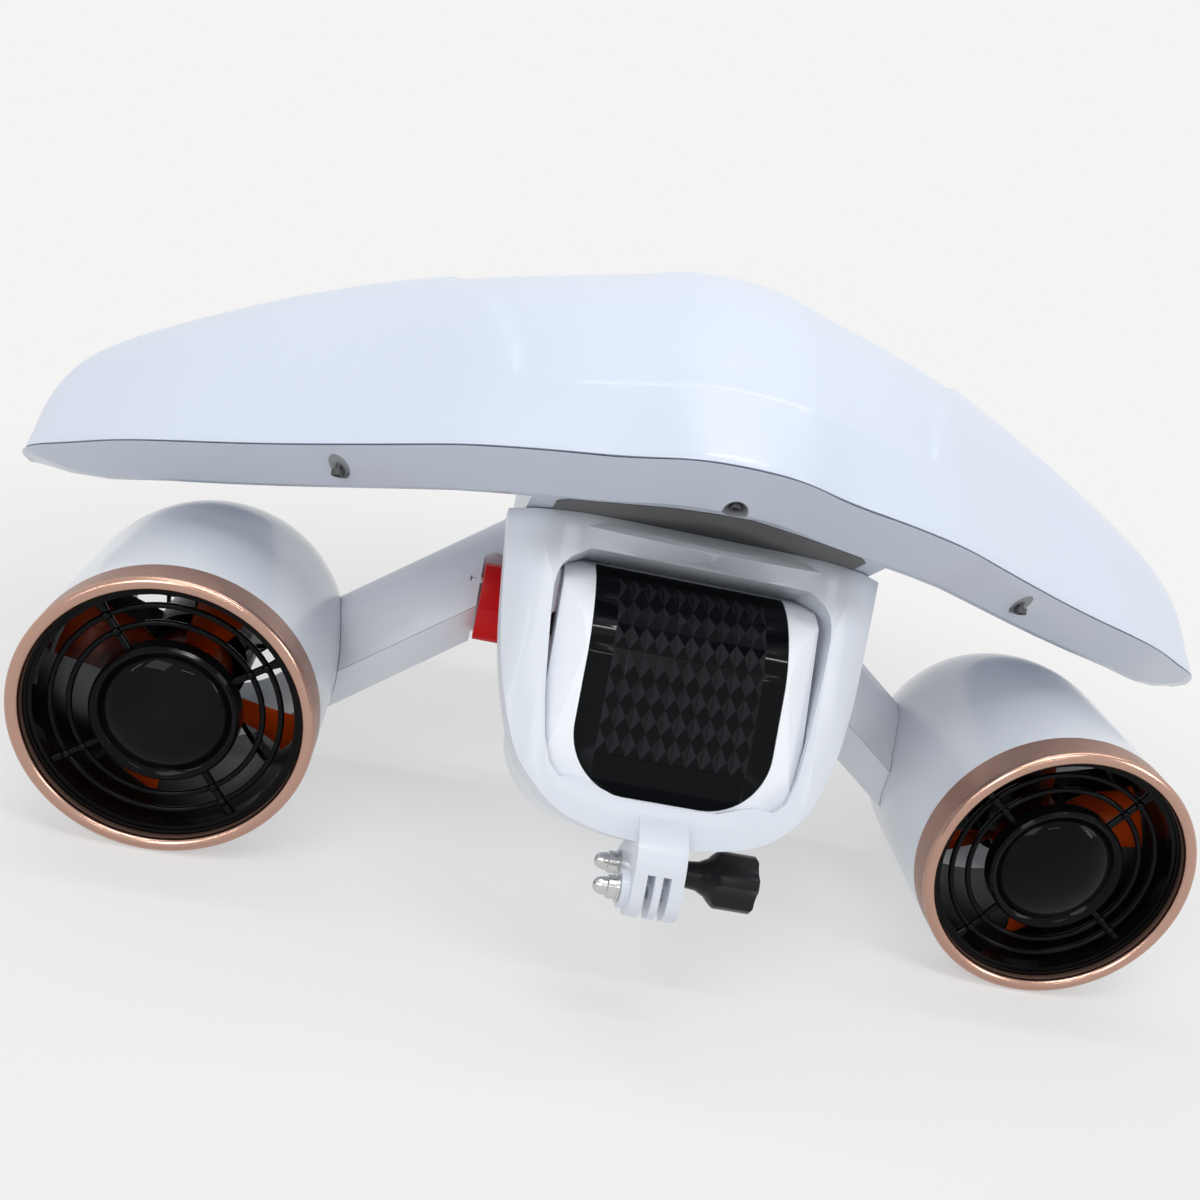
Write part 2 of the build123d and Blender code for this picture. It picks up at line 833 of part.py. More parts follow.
# Triggers on their pins, with a leaf spring behind each
with BuildPart() as trigger:
    with BuildSketch(duct_side(trigger_x - trigger_width / 2)):
        with BuildLine():
            Polyline(
                (trigger_front + 2, trigger_low), (trigger_front, trigger_low + 2.5),
                (trigger_front + 0.2, trigger_low + 17), (trigger_front + 4.5, 61),
                (trigger_front + 10, trigger_high), (trigger_front + 14, trigger_high),
                (pin_back + 3, pin_rise + 5), (pin_back + 4.2, pin_rise),
                (pin_back + 3, pin_rise - 3.5), (88.5, 47), (86, trigger_low + 2.5),
                (84, trigger_low), close=True,
            )
        make_face()
    extrude(amount=trigger_width)
    face_edges = trigger.edges().filter_by(Axis.X).sort_by(Axis.Y)[:3]
    fillet(face_edges, 1.2)
    with BuildSketch(duct_side(trigger_x - trigger_width / 2)):
        with Locations((pin_back, pin_rise)):
            Circle(pin_radius + run)
    extrude(amount=trigger_width, mode=Mode.SUBTRACT)
save_pair(trigger, "trigger")

with BuildPart() as trigger_pin:
    with BuildSketch(duct_side(trigger_x - trigger_width / 2 - trigger_gap - 4)):
        with Locations((pin_back, pin_rise)):
            Circle(pin_radius)
    extrude(amount=trigger_width + 2 * trigger_gap + 8)
save_pair(trigger_pin, "trigger_pin")

with BuildPart() as trigger_spring:
    with BuildSketch(duct_side(trigger_x - 4)):
        with BuildLine():
            Polyline(
                (87.2, 37), (pocket_back - 0.1, 44), (pocket_back - 0.1, 44 + leaf * 1.1),
                (87.2, 37 + leaf * 1.1), close=True,
            )
        make_face()
    extrude(amount=8)
save_pair(trigger_spring, "trigger_spring")

# Float wing. Per station: half width, front edge, crease behind it and above the parting,
# crest behind it and above the parting, rear edge, and the tray's rear edge below
wing_stations = (
    (0, -135, 10, 34, 115, 120, 25, 15),
    (20, -132, 9, 34, 106, 116.5, 26, 15.5),
    (42, -119, 6.5, 33.5, 94.5, 111.5, 28, 16.5),
    (70, -107, 10.4, 34.2, 87, 107, 33, 19),
    (88, -98.5, 20, 37, 83.5, 105, 38, 22),
    (104, -89.6, 40, 46, 82, 103.8, 44, 25),
    (125, -74, 46, 48, 83, 105, 57, 28),
    (150, -55, 48.5, 49, 85, 105.5, 74, 30),
    (176, -36, 50, 49.5, 84, 103, 92, 29),
    (204, -17, 51, 49.5, 81, 97.5, 106, 28),
    (232, 0.5, 50, 47, 74, 88, 117, 42),
    (260, 20.5, 45, 41, 62, 77, 125, 62),
    (285, 43.5, 32, 33, 48, 66, 127, 84),
    (300, 57, 21, 24, 37, 54, 122, 92),
    (309, 68, 12, 15, 25, 37, 113, 95),
    (314, 79, 5, 7, 13, 17, 104, 96),
)


def wing_form(inset, low, high_skirt):
    """The float's upper form inside its skin by inset, down to a skirt below the parting."""
    reach = wing_stations[-1][0]
    base = parting_height + low
    with BuildPart() as form:
        rows = [(-row[0], *row[1:]) for row in reversed(wing_stations[1:])]
        rows += list(wing_stations)
        for row in rows:
            x, front, crease, lift, crest, top, rear, under = row
            scale = (reach - 2 * inset) / reach
            a = (front + 1.4 * inset, base)
            b = (front + crease + 0.7 * inset, parting_height + lift - 0.8 * inset)
            c = (front + crest, parting_height + top - inset)
            d = (rear - inset, base)
            mid_back = (b[0] + c[0]) / 2
            fall = c[0] + (d[0] - c[0]) * 0.62
            with BuildSketch(body_side(x * scale)):
                with BuildLine():
                    Line(a, b)
                    Bezier(b, (mid_back, c[1]), c)
                    Bezier(c, (fall, c[1]), (d[0], base + (c[1] - base) * 0.5), d)
                    if high_skirt:
                        Polyline(d, (d[0] - 1, base - high_skirt),
                                 (a[0] + high_skirt * 1.7, base - high_skirt), a)
                    else:
                        Line(d, a)
                make_face()
        loft()
    return form.part


def planform(inset_front, inset_rear, lower):
    """Outline of the float in plan view: at the parting plane or at the tray's underside."""
    front = []
    rear = []
    reach = wing_stations[-1][0]
    scale = (reach - inset_rear) / reach
    for x, edge, crease, lift, crest, top, back, under in wing_stations:
        behind = (under if lower else back) - inset_rear
        if behind - edge - inset_front > 3:
            front.append((x * scale, edge + inset_front))
            rear.append((x * scale, behind))
    left_front = [(-x, y) for x, y in reversed(front[1:])]
    left_rear = [(-x, y) for x, y in rear[1:]]
    with BuildLine() as outline:
        front_line = Spline(left_front + front)
        rear_line = Spline(list(reversed(rear)) + left_rear)
        Line(front_line @ 1, rear_line @ 0)
        Line(rear_line @ 1, front_line @ 0)
    return outline.line


def lip_back(x):
    """Where the tray's lower front edge lies at x."""
    for near, far in zip(wing_stations, wing_stations[1:]):
        if x <= far[0]:
            share = (x - near[0]) / (far[0] - near[0])
            return near[1] + (far[1] - near[1]) * share + tray_setback
    return wing_stations[-1][1] + tray_setback


def vault_lift(x):
    """How far the underside is above the tray's lowest plane at x: it curls up at the tips."""
    near_tip = ((260, -0.5), (285, 3.5), (300, 7.5), (309, 10.2), (330, 12.3))
    for (x_near, lift_near), (x_far, lift_far) in zip(near_tip, near_tip[1:]):
        if x_near <= x <= x_far:
            return lift_near + (lift_far - lift_near) * (x - x_near) / (x_far - x_near)
    return near_tip[0][1]


def vault_form(grow):
    """Room under the outer wings, where the float's underside rises to the rear."""
    slant = sqrt(1 + vault_slope ** 2)
    low = parting_height - tray_height - 40
    with BuildPart() as room:
        for side in (-1, 1):
            places = [keel_half_width - grow, 88, 104, 125, 150, 176, 204, 232, 260, 285,
                      300, 309, 330]
            for x in places:
                lip = lip_back(x)
                base = parting_height - tray_height + vault_lift(x) + grow * slant
                end = lip + 220
                with BuildSketch(body_side(side * x)):
                    with BuildLine():
                        Polyline(
                            (lip - 40, low), (lip - 40, base), (lip + vault_start, base),
                            (end, base + (end - lip - vault_start) * vault_slope),
                            (end, low), close=True,
                        )
                    make_face()
            loft(ruled=True)
    return room.part


half_seal = seal_height / 2
vault = vault_form(0)
vault_skin = vault_form(float_wall)
outer_wing = wing_form(0, half_seal, 0)

screw_places = ((0, -116), (152.3, -43), (-152.3, -43), (60, 22), (-60, 22))
float_boss_radius = 5.0
float_boss_height = 60.0
tray_inset_front = 27
tray_inset_rear = 6
with BuildPart() as top_shell:
    add(outer_wing)
    add(wing_form(float_wall, -2, 0) - vault_skin, mode=Mode.SUBTRACT)
    with BuildSketch(body.offset(parting_height + half_seal)):
        with Locations(*screw_places):
            Circle(float_boss_radius)
    extrude(amount=float_boss_height)
    add(outer_wing, mode=Mode.INTERSECT)
    with BuildSketch(body.offset(parting_height - 1)):
        with Locations(*screw_places):
            Circle(screw_radius + run)
    extrude(amount=screw_length - tray_height + screw_recess_depth + 2, mode=Mode.SUBTRACT)
    add(vault, mode=Mode.SUBTRACT)
save(top_shell, "float_top_shell")

with BuildPart() as tray:
    with BuildSketch(body.offset(parting_height - half_seal)):
        add(planform(0, 0, False))
        make_face()
    with BuildSketch(body.offset(parting_height - tray_height)):
        add(planform(tray_setback, 0, True))
        make_face()
    loft(ruled=True)
    with BuildSketch(body.offset(parting_height - tray_height + float_wall)):
        add(planform(tray_inset_front, tray_inset_rear, True))
        make_face()
    hollow = extrude(amount=tray_height, mode=Mode.PRIVATE)
    add(hollow - vault_skin, mode=Mode.SUBTRACT)
    with BuildSketch(body.offset(parting_height - tray_height)):
        with Locations(*screw_places):
            Circle(float_boss_radius)
    extrude(amount=tray_height - half_seal)
    with BuildSketch(body.offset(parting_height - tray_height - 2)):
        with Locations(*screw_places):
            Circle(screw_recess_radius)
    extrude(amount=2 + screw_recess_depth, mode=Mode.SUBTRACT)
    with BuildSketch(body.offset(parting_height - tray_height)):
        with Locations(*screw_places):
            Circle(screw_radius + run)
    extrude(amount=tray_height, mode=Mode.SUBTRACT)
    add(vault, mode=Mode.SUBTRACT)
save(tray, "float_bottom_shell")

with BuildPart() as screws:
    head_base = parting_height - tray_height + screw_recess_depth
    with BuildSketch(body.offset(head_base)):
        with Locations(*screw_places):
            Circle(screw_head_radius)
    extrude(amount=-2.4)
    with BuildSketch(body.offset(head_base)):
        with Locations(*screw_places):
            Circle(screw_radius)
    extrude(amount=screw_length)
    with BuildSketch(body.offset(head_base - 2.4)):
        with Locations(*screw_places):
            RegularPolygon(1.4, 6)
    extrude(amount=1.4, mode=Mode.SUBTRACT)
save(screws, "float_screws")

with BuildPart() as seal_ring:
    with BuildSketch(body.offset(parting_height - half_seal + 0.05)):
        add(planform(2.2, 0.8, False))
        make_face()
    extrude(amount=seal_height - 0.1)
    add(vault_form(0.6), mode=Mode.SUBTRACT)
    with BuildSketch(body.offset(parting_height - half_seal)):
        add(planform(4.6, 2.6, False))
        make_face()
    inner = extrude(amount=seal_height, mode=Mode.PRIVATE)
    add(inner - vault_form(float_wall - 0.4), mode=Mode.SUBTRACT)
save(seal_ring, "float_seal")

# Bracket: the frame round the housing's nose, its upper beam and the camera fork
frame_half = (
    (80.6, bracket_top - 0.0), (79.2, 92), (77.1, 71), (74.8, 53), (70.6, 34), (66.2, 20),
    (60.4, 7), (52.7, -2), (43.4, -9.6), (32.5, -14), (16.7, -17),
)
window_half = (
    (0, 93.6), (46, 93.6), (53, 89.3), (56.2, 85.8), (57.6, 81.5), (58.1, 76.6),
    (57.5, 65.7), (56, 49.8), (54.3, 33), (51.8, 17.6), (48.3, 7), (43.5, 2.4),
    (36, 3.2), (29, 1.2), (21, -1.6), (11, -2.4),
)
beam_middle = ((-97, 95.5), (-94, 98.5), (-66, 103), (-64, 93.8), (-84, 93.8))
beam_end = ((-68, 104), (-66, 107), (-48, 107.4), (-47, 93.8), (-64, 93.8))
ear_inner = lug_inner + lug_plate + 0.2
fork_half = fork_middle / 2 + fork_gap + fork_side
with BuildPart() as bracket:
    with BuildSketch(body_front(bracket_rear)):
        with BuildLine():
            side_line = Spline(frame_half + ((0, -17.5),)
                               + tuple((-x, z) for x, z in reversed(frame_half)))
            Line(side_line @ 0, side_line @ 1)
        make_face()
        with BuildLine():
            Polyline(
                *window_half, *((-x, z) for x, z in reversed(window_half[1:])), close=True
            )
        make_face(mode=Mode.SUBTRACT)
    extrude(amount=40)
    with BuildSketch(body.offset(-30)):
        with BuildLine():
            Polyline(
                (-84, -40), (-84, -54), (-81, -56), (-70, -66), (-58, -71.5), (-50, -74),
                (-30, -75), (30, -75), (50, -74), (58, -71.5), (70, -66), (81, -56),
                (84, -54), (84, -40), close=True,
            )
        make_face()
    extrude(amount=140, mode=Mode.INTERSECT)
    for x, points in ((-62, beam_end), (0, beam_middle), (62, beam_end)):
        with BuildSketch(body_side(x)):
            with BuildLine():
                Polyline(*points, close=True)
            make_face()
    loft(ruled=True)
    add(housing_form(window_gap), mode=Mode.SUBTRACT)
    with BuildSketch(body.offset(-20)):
        with Locations((0, ledge_rear + 20)):
            Rectangle(24, 40)
    extrude(amount=10, mode=Mode.SUBTRACT)
    ear_places = (
        (-fork_middle / 2, fork_middle), (ear_inner, ear_side), (-ear_inner, -ear_side),
    )
    for start, width in ear_places:
        with BuildSketch(body_side(start)):
            with BuildLine():
                Polyline(
                    (clamp_back, clamp_height + clamp_radius), (ledge_rear - 2, -14),
                    (-66, -14), (-64, -24), (-54, clamp_height - clamp_radius + 1),
                    (clamp_back, clamp_height - clamp_radius),
                )
                ThreePointArc(
                    (clamp_back, clamp_height - clamp_radius),
                    (clamp_back + clamp_radius, clamp_height),
                    (clamp_back, clamp_height + clamp_radius),
                )
            make_face()
        extrude(amount=width)
    with BuildSketch(body_side(ear_inner + ear_side)):
        with Locations((clamp_back, clamp_height)):
            Circle(6)
    extrude(amount=knob_start - 0.2 - ear_inner - ear_side)
    with BuildSketch(body_side(-fork_half)):
        with BuildLine():
            front_curve = Spline(
                (-73, -5), (-78.5, -11), (-83.8, -22), (-83.2, -33), (-79.5, -43),
                (-74, fork_height - fork_radius + 0.2),
            )
            Polyline(front_curve @ 1, (-68, fork_height - fork_radius), (-62.5, -41),
                     (-60.6, -36), (-60.5, -26), (-58, -14), (-60, -5), front_curve @ 0)
        make_face()
    extrude(amount=2 * fork_half)
    add(housing_form(window_gap), mode=Mode.SUBTRACT)
    for side in (-1, 1):
        with BuildSketch(body_side(side * fork_middle / 2)):
            with Locations((fork_back, fork_height - 13.2)):
                Rectangle(60, 40)
        extrude(amount=side * fork_gap, mode=Mode.SUBTRACT)
    with BuildSketch(body_side(-fork_half)):
        with Locations((fork_back, fork_height)):
            Circle(boss_radius)
    extrude(amount=-boss_thickness)
    with BuildSketch(body_side(-fork_half - boss_thickness)):
        with Locations((fork_back, fork_height)):
            Circle(camera_bore)
    extrude(amount=2 * fork_half + boss_thickness, mode=Mode.SUBTRACT)
    with BuildSketch(body_side(-20)):
        with Locations((clamp_back, clamp_height)):
            Circle(stud_radius + run)
    extrude(amount=40, mode=Mode.SUBTRACT)
save(bracket, "float_bracket")


def hardware_axis(back, height):
    """Axis of a cross bolt, pointing right."""
    return Axis(body.from_local_coords((0, back, height)), (1, 0, 0))


def hardware_plane(back, height):
    """Plane through a cross bolt's axis, drawn in x and away from the axis."""
    return Plane(origin=body.from_local_coords((0, back, height)), x_dir=(1, 0, 0),
                 z_dir=(0, -1, 0))


def cap_nut(start, back, height, bore_radius):
    """Acorn nut whose collar starts at x and points left."""
    r = cap_nut_radius
    with BuildPart() as nut:
        with BuildSketch(hardware_plane(back, height)):
            with BuildLine():
                Polyline(
                    (start - 8, 0), (start - 7, 0), (start - 7, bore_radius),
                    (start, bore_radius), (start, r + 0.8), (start - 1.2, r + 0.8),
                    (start - 1.2, r), (start - 4.5, r), (start - 5, r - 1),
                )
                Bezier(
                    (start - 5, r - 1), (start - 9, r - 1), (start - 10.2, 2),
                    (start - 10.2, 0),
                )
                Line((start - 10.2, 0), (start - 8, 0))
            make_face()
        revolve(axis=hardware_axis(back, height))
    return nut


camera_nut = cap_nut(-fork_half - boss_thickness - 0.1, fork_back, fork_height, camera_bore)
save(camera_nut, "camera_nut")
clamp_nut = cap_nut(-ear_inner - ear_side - 0.1, clamp_back, clamp_height,
                    stud_radius + run)
save(clamp_nut, "clamp_nut")

with BuildPart() as stud:
    with BuildSketch(body_side(-ear_inner - ear_side - 6.5)):
        with Locations((clamp_back, clamp_height)):
            Circle(stud_radius)
    extrude(amount=ear_inner + ear_side + 6.5 + knob_start + 12)
save(stud, "clamp_stud")

with BuildPart() as knob:
    with BuildSketch(hardware_plane(clamp_back, clamp_height)):
        with BuildLine():
            Polyline(
                (knob_start, stud_radius + 0.02), (knob_start, knob_neck),
                (knob_start + 10, knob_neck + 1), (knob_start + 14, knob_neck + 3),
                (knob_start + 17, knob_head - 0.6), (knob_start + 18, knob_head),
                (knob_start + knob_length - 1, knob_head),
                (knob_start + knob_length, knob_head - 1),
                (knob_start + knob_length, 0), (knob_start + 12.2, 0),
                (knob_start + 12.2, stud_radius + 0.02), close=True,
            )
        make_face()
    revolve(axis=hardware_axis(clamp_back, clamp_height))
    scoop = knob_head * 1.55
    for i in range(knob_lobes):
        turn = 2 * 3.14159265 / knob_lobes * i
        with BuildSketch(body_side(knob_start + 12)):
            with Locations((clamp_back + scoop * cos(turn), clamp_height + scoop * sin(turn))):
                Circle(knob_head * 0.78)
        extrude(amount=knob_length, mode=Mode.SUBTRACT)
save(knob, "clamp_knob")
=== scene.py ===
import json
import math

import bpy
from mathutils import Matrix, Vector
from mathutils.bvhtree import BVHTree


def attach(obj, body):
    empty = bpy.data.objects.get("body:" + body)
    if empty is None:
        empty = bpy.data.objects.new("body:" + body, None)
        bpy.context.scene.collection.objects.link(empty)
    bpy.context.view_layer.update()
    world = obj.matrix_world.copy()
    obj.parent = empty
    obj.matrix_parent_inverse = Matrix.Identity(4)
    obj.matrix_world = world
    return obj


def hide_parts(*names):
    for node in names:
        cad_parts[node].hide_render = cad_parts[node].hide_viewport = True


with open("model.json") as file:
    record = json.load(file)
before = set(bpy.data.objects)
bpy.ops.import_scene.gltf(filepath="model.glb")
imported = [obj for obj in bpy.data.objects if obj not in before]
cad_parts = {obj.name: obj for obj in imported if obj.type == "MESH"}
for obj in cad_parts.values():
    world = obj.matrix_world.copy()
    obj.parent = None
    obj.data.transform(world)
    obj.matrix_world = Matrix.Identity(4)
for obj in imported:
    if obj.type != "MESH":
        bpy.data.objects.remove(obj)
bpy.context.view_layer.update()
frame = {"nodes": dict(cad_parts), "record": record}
nodes = frame["nodes"]
scene = bpy.context.scene
scene.view_settings.view_transform = "Standard"
print("frame loaded,", len(nodes), "nodes")

cameraSettings = {  # its own axes, worked out from the two round duct mouths
    "place": (-0.1070, -0.5554, 0.3423),
    "right": (0.97309, -0.05505, 0.22374),
    "up": (-0.18948, 0.36128, 0.91300),
    "back": (-0.13109, -0.93083, 0.34113),
    "lens": 38.92,
    "sensor": 36.0,
    "nearest": 0.01,
}
cameraData = bpy.data.cameras.new("camera")
cameraData.lens = cameraSettings["lens"]
cameraData.sensor_width = cameraSettings["sensor"]
cameraData.sensor_fit = "HORIZONTAL"
cameraData.clip_start = cameraSettings["nearest"]
camera = bpy.data.objects.new("camera", cameraData)
scene.collection.objects.link(camera)
cameraTurn = Matrix([cameraSettings[axis] for axis in ("right", "up", "back")]).transposed()
camera.matrix_world = Matrix.Translation(cameraSettings["place"]) @ cameraTurn.to_4x4()
scene.camera = camera
print("camera set")

bodySettings = {"tilt": math.radians(30.7), "mouth": -48.3, "axisHeight": 65.0, "axisOut": 207.0}
tiltCos = math.cos(bodySettings["tilt"])
tiltSin = math.sin(bodySettings["tilt"])


def onBody(x, back, height):  # millimetres in the tilted housing's own axes, to metres
    return Vector((
        x,
        back * tiltCos + height * tiltSin + bodySettings["mouth"],
        -back * tiltSin + height * tiltCos + bodySettings["axisHeight"],
    )) / 1000


def toBody(place):  # metres to millimetres in the tilted housing's own axes
    y = place.y * 1000 - bodySettings["mouth"]
    z = place.z * 1000 - bodySettings["axisHeight"]
    return Vector((place.x * 1000, y * tiltCos - z * tiltSin, y * tiltSin + z * tiltCos))


def ductMiddle(side):
    return bodySettings["axisOut"] * (-1 if side == "left" else 1)


# Shader groups that the finishes share
def newGroup(name, inputs, outputs):
    group = bpy.data.node_groups.new(name, "ShaderNodeTree")
    for label, value in inputs.items():
        socket = group.interface.new_socket(label, in_out="INPUT", socket_type="NodeSocketFloat")
        socket.default_value = value
    for label in outputs:
        group.interface.new_socket(label, in_out="OUTPUT", socket_type="NodeSocketFloat")
    return group, group.nodes.new("NodeGroupInput"), group.nodes.new("NodeGroupOutput")


def addNoise(tree, scale, detail):
    coords = tree.nodes.new("ShaderNodeTexCoord")
    noise = tree.nodes.new("ShaderNodeTexNoise")
    noise.inputs["Scale"].default_value = scale
    noise.inputs["Detail"].default_value = detail
    tree.links.new(coords.outputs["Object"], noise.inputs["Vector"])
    return noise.outputs["Fac"]


def addMath(tree, kind, first, second=None, third=None):
    step = tree.nodes.new("ShaderNodeMath")
    step.operation = kind
    for place, value in enumerate((first, second, third)):
        if value is None:
            continue
        if isinstance(value, (int, float)):
            step.inputs[place].default_value = value
        else:
            tree.links.new(value, step.inputs[place])
    return step.outputs[0]


def splitAxes(tree, kind):
    coords = tree.nodes.new("ShaderNodeTexCoord")
    split = tree.nodes.new("ShaderNodeSeparateXYZ")
    tree.links.new(coords.outputs[kind], split.inputs["Vector"])
    return split.outputs


skinLook = {"grain": (600.0, 2.0), "cloud": (14.0, 3.0), "smudge": (55.0, 4.0),
            "grainHeight": 0.4, "cloudHeight": 0.6}


def mouldedSkin():  # grain, faint smudges and slow waves of a moulded or lacquered skin
    tree, start, end = newGroup("mouldedSkin", {"Roughness": 0.2, "Spread": 0.06},
                                ("Roughness", "Height", "Cloud"))
    fine = addNoise(tree, *skinLook["grain"])
    broad = addNoise(tree, *skinLook["cloud"])
    smudge = addNoise(tree, *skinLook["smudge"])
    swing = addMath(tree, "SUBTRACT", smudge, 0.5)
    rough = addMath(tree, "MULTIPLY_ADD", swing, start.outputs["Spread"],
                    start.outputs["Roughness"])
    wave = addMath(tree, "MULTIPLY", broad, skinLook["cloudHeight"])
    height = addMath(tree, "MULTIPLY_ADD", fine, skinLook["grainHeight"], wave)
    tree.links.new(rough, end.inputs["Roughness"])
    tree.links.new(height, end.inputs["Height"])
    tree.links.new(broad, end.inputs["Cloud"])
    return tree


edgeLook = {"patch": (140.0, 3.0), "flat": 0.53, "gain": 14.0, "most": 0.6}


def wornEdge():  # paler rubbed corners, where the surface turns sharply
    tree, start, end = newGroup("wornEdge", {"Amount": 0.3}, ("Mask",))
    geometry = tree.nodes.new("ShaderNodeNewGeometry")
    patch = addNoise(tree, *edgeLook["patch"])
    sharp = addMath(tree, "SUBTRACT", geometry.outputs["Pointiness"], edgeLook["flat"])
    strong = addMath(tree, "MULTIPLY", sharp, edgeLook["gain"])
    broken = addMath(tree, "MULTIPLY", strong, patch)
    limited = addMath(tree, "MULTIPLY", broken, start.outputs["Amount"])
    bounded = addMath(tree, "MINIMUM", addMath(tree, "MAXIMUM", limited, 0.0),
                      edgeLook["most"])
    tree.links.new(bounded, end.inputs["Mask"])
    return tree


facetLightLook = {"patch": (260.0, 2.0), "lean": 2.6, "patchGain": 1.2, "patchBase": 0.3}


def facetLightMask():  # painted light on the cover's facets: those that lean left are painted lightest, those to the right less, broken up by noise
    tree, start, end = newGroup("facetLightMask", {"Left": 1.0, "Right": 0.45}, ("Mask",))
    lean = splitAxes(tree, "Normal")["X"]
    patch = addNoise(tree, *facetLightLook["patch"])
    left, right = (addMath(tree, "MAXIMUM", addMath(tree, "MULTIPLY", lean, gain), 0.0)
                   for gain in (-facetLightLook["lean"], facetLightLook["lean"]))
    both = addMath(tree, "MULTIPLY_ADD", left, start.outputs["Left"],
                   addMath(tree, "MULTIPLY", right, start.outputs["Right"]))
    broken = addMath(tree, "MULTIPLY", both, addMath(
        tree, "MULTIPLY_ADD", patch, facetLightLook["patchGain"], facetLightLook["patchBase"]))
    tree.links.new(addMath(tree, "MINIMUM", broken, 1.0), end.inputs["Mask"])
    return tree


beamShadowReach = {"height": (0.080, 0.094), "across": (0.078, 0.058)}  # each from none to full


def beamShadowMask():  # painted shade on the bracket's beam, where the float's shadow falls, faded out at its ends
    tree, start, end = newGroup("beamShadowMask", {"Amount": 1.0}, ("Mask",))
    axes = splitAxes(tree, "Object")
    fromY = addMath(tree, "MULTIPLY_ADD", axes["Y"], tiltSin,
                    -bodySettings["mouth"] / 1000 * tiltSin)
    fromZ = addMath(tree, "MULTIPLY_ADD", axes["Z"], tiltCos,
                    -bodySettings["axisHeight"] / 1000 * tiltCos)
    height = addMath(tree, "ADD", fromY, fromZ)
    across = addMath(tree, "ABSOLUTE", axes["X"])
    masks = []
    for value, (none, full) in ((height, beamShadowReach["height"]), (across, beamShadowReach["across"])):
        ramp = tree.nodes.new("ShaderNodeMapRange")
        ramp.interpolation_type = "SMOOTHSTEP"
        ramp.inputs["From Min"].default_value = min(none, full)
        ramp.inputs["From Max"].default_value = max(none, full)
        ramp.inputs["To Min"].default_value = 0.0 if none < full else 1.0
        ramp.inputs["To Max"].default_value = 1.0 if none < full else 0.0
        tree.links.new(value, ramp.inputs["Value"])
        masks.append(ramp.outputs["Result"])
    both = addMath(tree, "MULTIPLY", *masks)
    tree.links.new(addMath(tree, "MULTIPLY", both, start.outputs["Amount"]),
                   end.inputs["Mask"])
    return tree


skinGroup = mouldedSkin()
# masks for rubbed wear, painted shade on the beam and painted light on the cover's facets
wearAndPaintedLightMasks = {"rubbed": wornEdge(), "beamShadowColour": beamShadowMask(), "facetLightColour": facetLightMask()}
plainFinish = {  # what a finish has where it says nothing else
    "spread": 0.08, "cloudGain": 1.0, "bump": 0.05, "bumpDistance": 0.0002, "metal": 0.0,
    "coat": 0.0, "coatRoughness": 0.05, "ior": 1.5, "specular": 0.5,
}


def mixColours(tree, mask, under, over):  # the lower colour is plain or a node's output
    mix = tree.nodes.new("ShaderNodeMix")
    mix.data_type = "RGBA"
    if isinstance(under, tuple):
        mix.inputs["A"].default_value = (*under, 1)
    else:
        tree.links.new(under, mix.inputs["A"])
    mix.inputs["B"].default_value = (*over, 1)
    tree.links.new(mask, mix.inputs["Factor"])
    return mix.outputs["Result"]


def newFinish(name, ownLook):
    look = {**plainFinish, **ownLook}
    material = bpy.data.materials.new(name)
    material.use_nodes = True
    tree = material.node_tree
    shader = tree.nodes["Principled BSDF"]
    skin = tree.nodes.new("ShaderNodeGroup")
    skin.node_tree = skinGroup
    skin.inputs["Roughness"].default_value = look["roughness"]
    skin.inputs["Spread"].default_value = look["spread"]
    tree.links.new(skin.outputs["Roughness"], shader.inputs["Roughness"])
    cloud = addMath(tree, "MULTIPLY_ADD", skin.outputs["Cloud"], look["cloudGain"],
                    0.5 - look["cloudGain"] / 2)
    cloud = addMath(tree, "MINIMUM", addMath(tree, "MAXIMUM", cloud, 0.0), 1.0)
    colour = mixColours(tree, cloud, look["colour"], look.get("shade", look["colour"]))
    # lays rubbed wear, painted shade and painted light over the colour
    for tone, group in wearAndPaintedLightMasks.items():
        if tone in look:
            mask = tree.nodes.new("ShaderNodeGroup")
            mask.node_tree = group
            colour = mixColours(tree, mask.outputs["Mask"], colour, look[tone])
    tree.links.new(colour, shader.inputs["Base Color"])
    bump = tree.nodes.new("ShaderNodeBump")
    bump.inputs["Strength"].default_value = look["bump"]
    bump.inputs["Distance"].default_value = look["bumpDistance"]
    tree.links.new(skin.outputs["Height"], bump.inputs["Height"])
    tree.links.new(bump.outputs["Normal"], shader.inputs["Normal"])
    for label, key in (("Metallic", "metal"), ("Coat Weight", "coat"),
                       ("Coat Roughness", "coatRoughness"), ("IOR", "ior"),
                       ("Specular IOR Level", "specular")):
        shader.inputs[label].default_value = look[key]
    return material


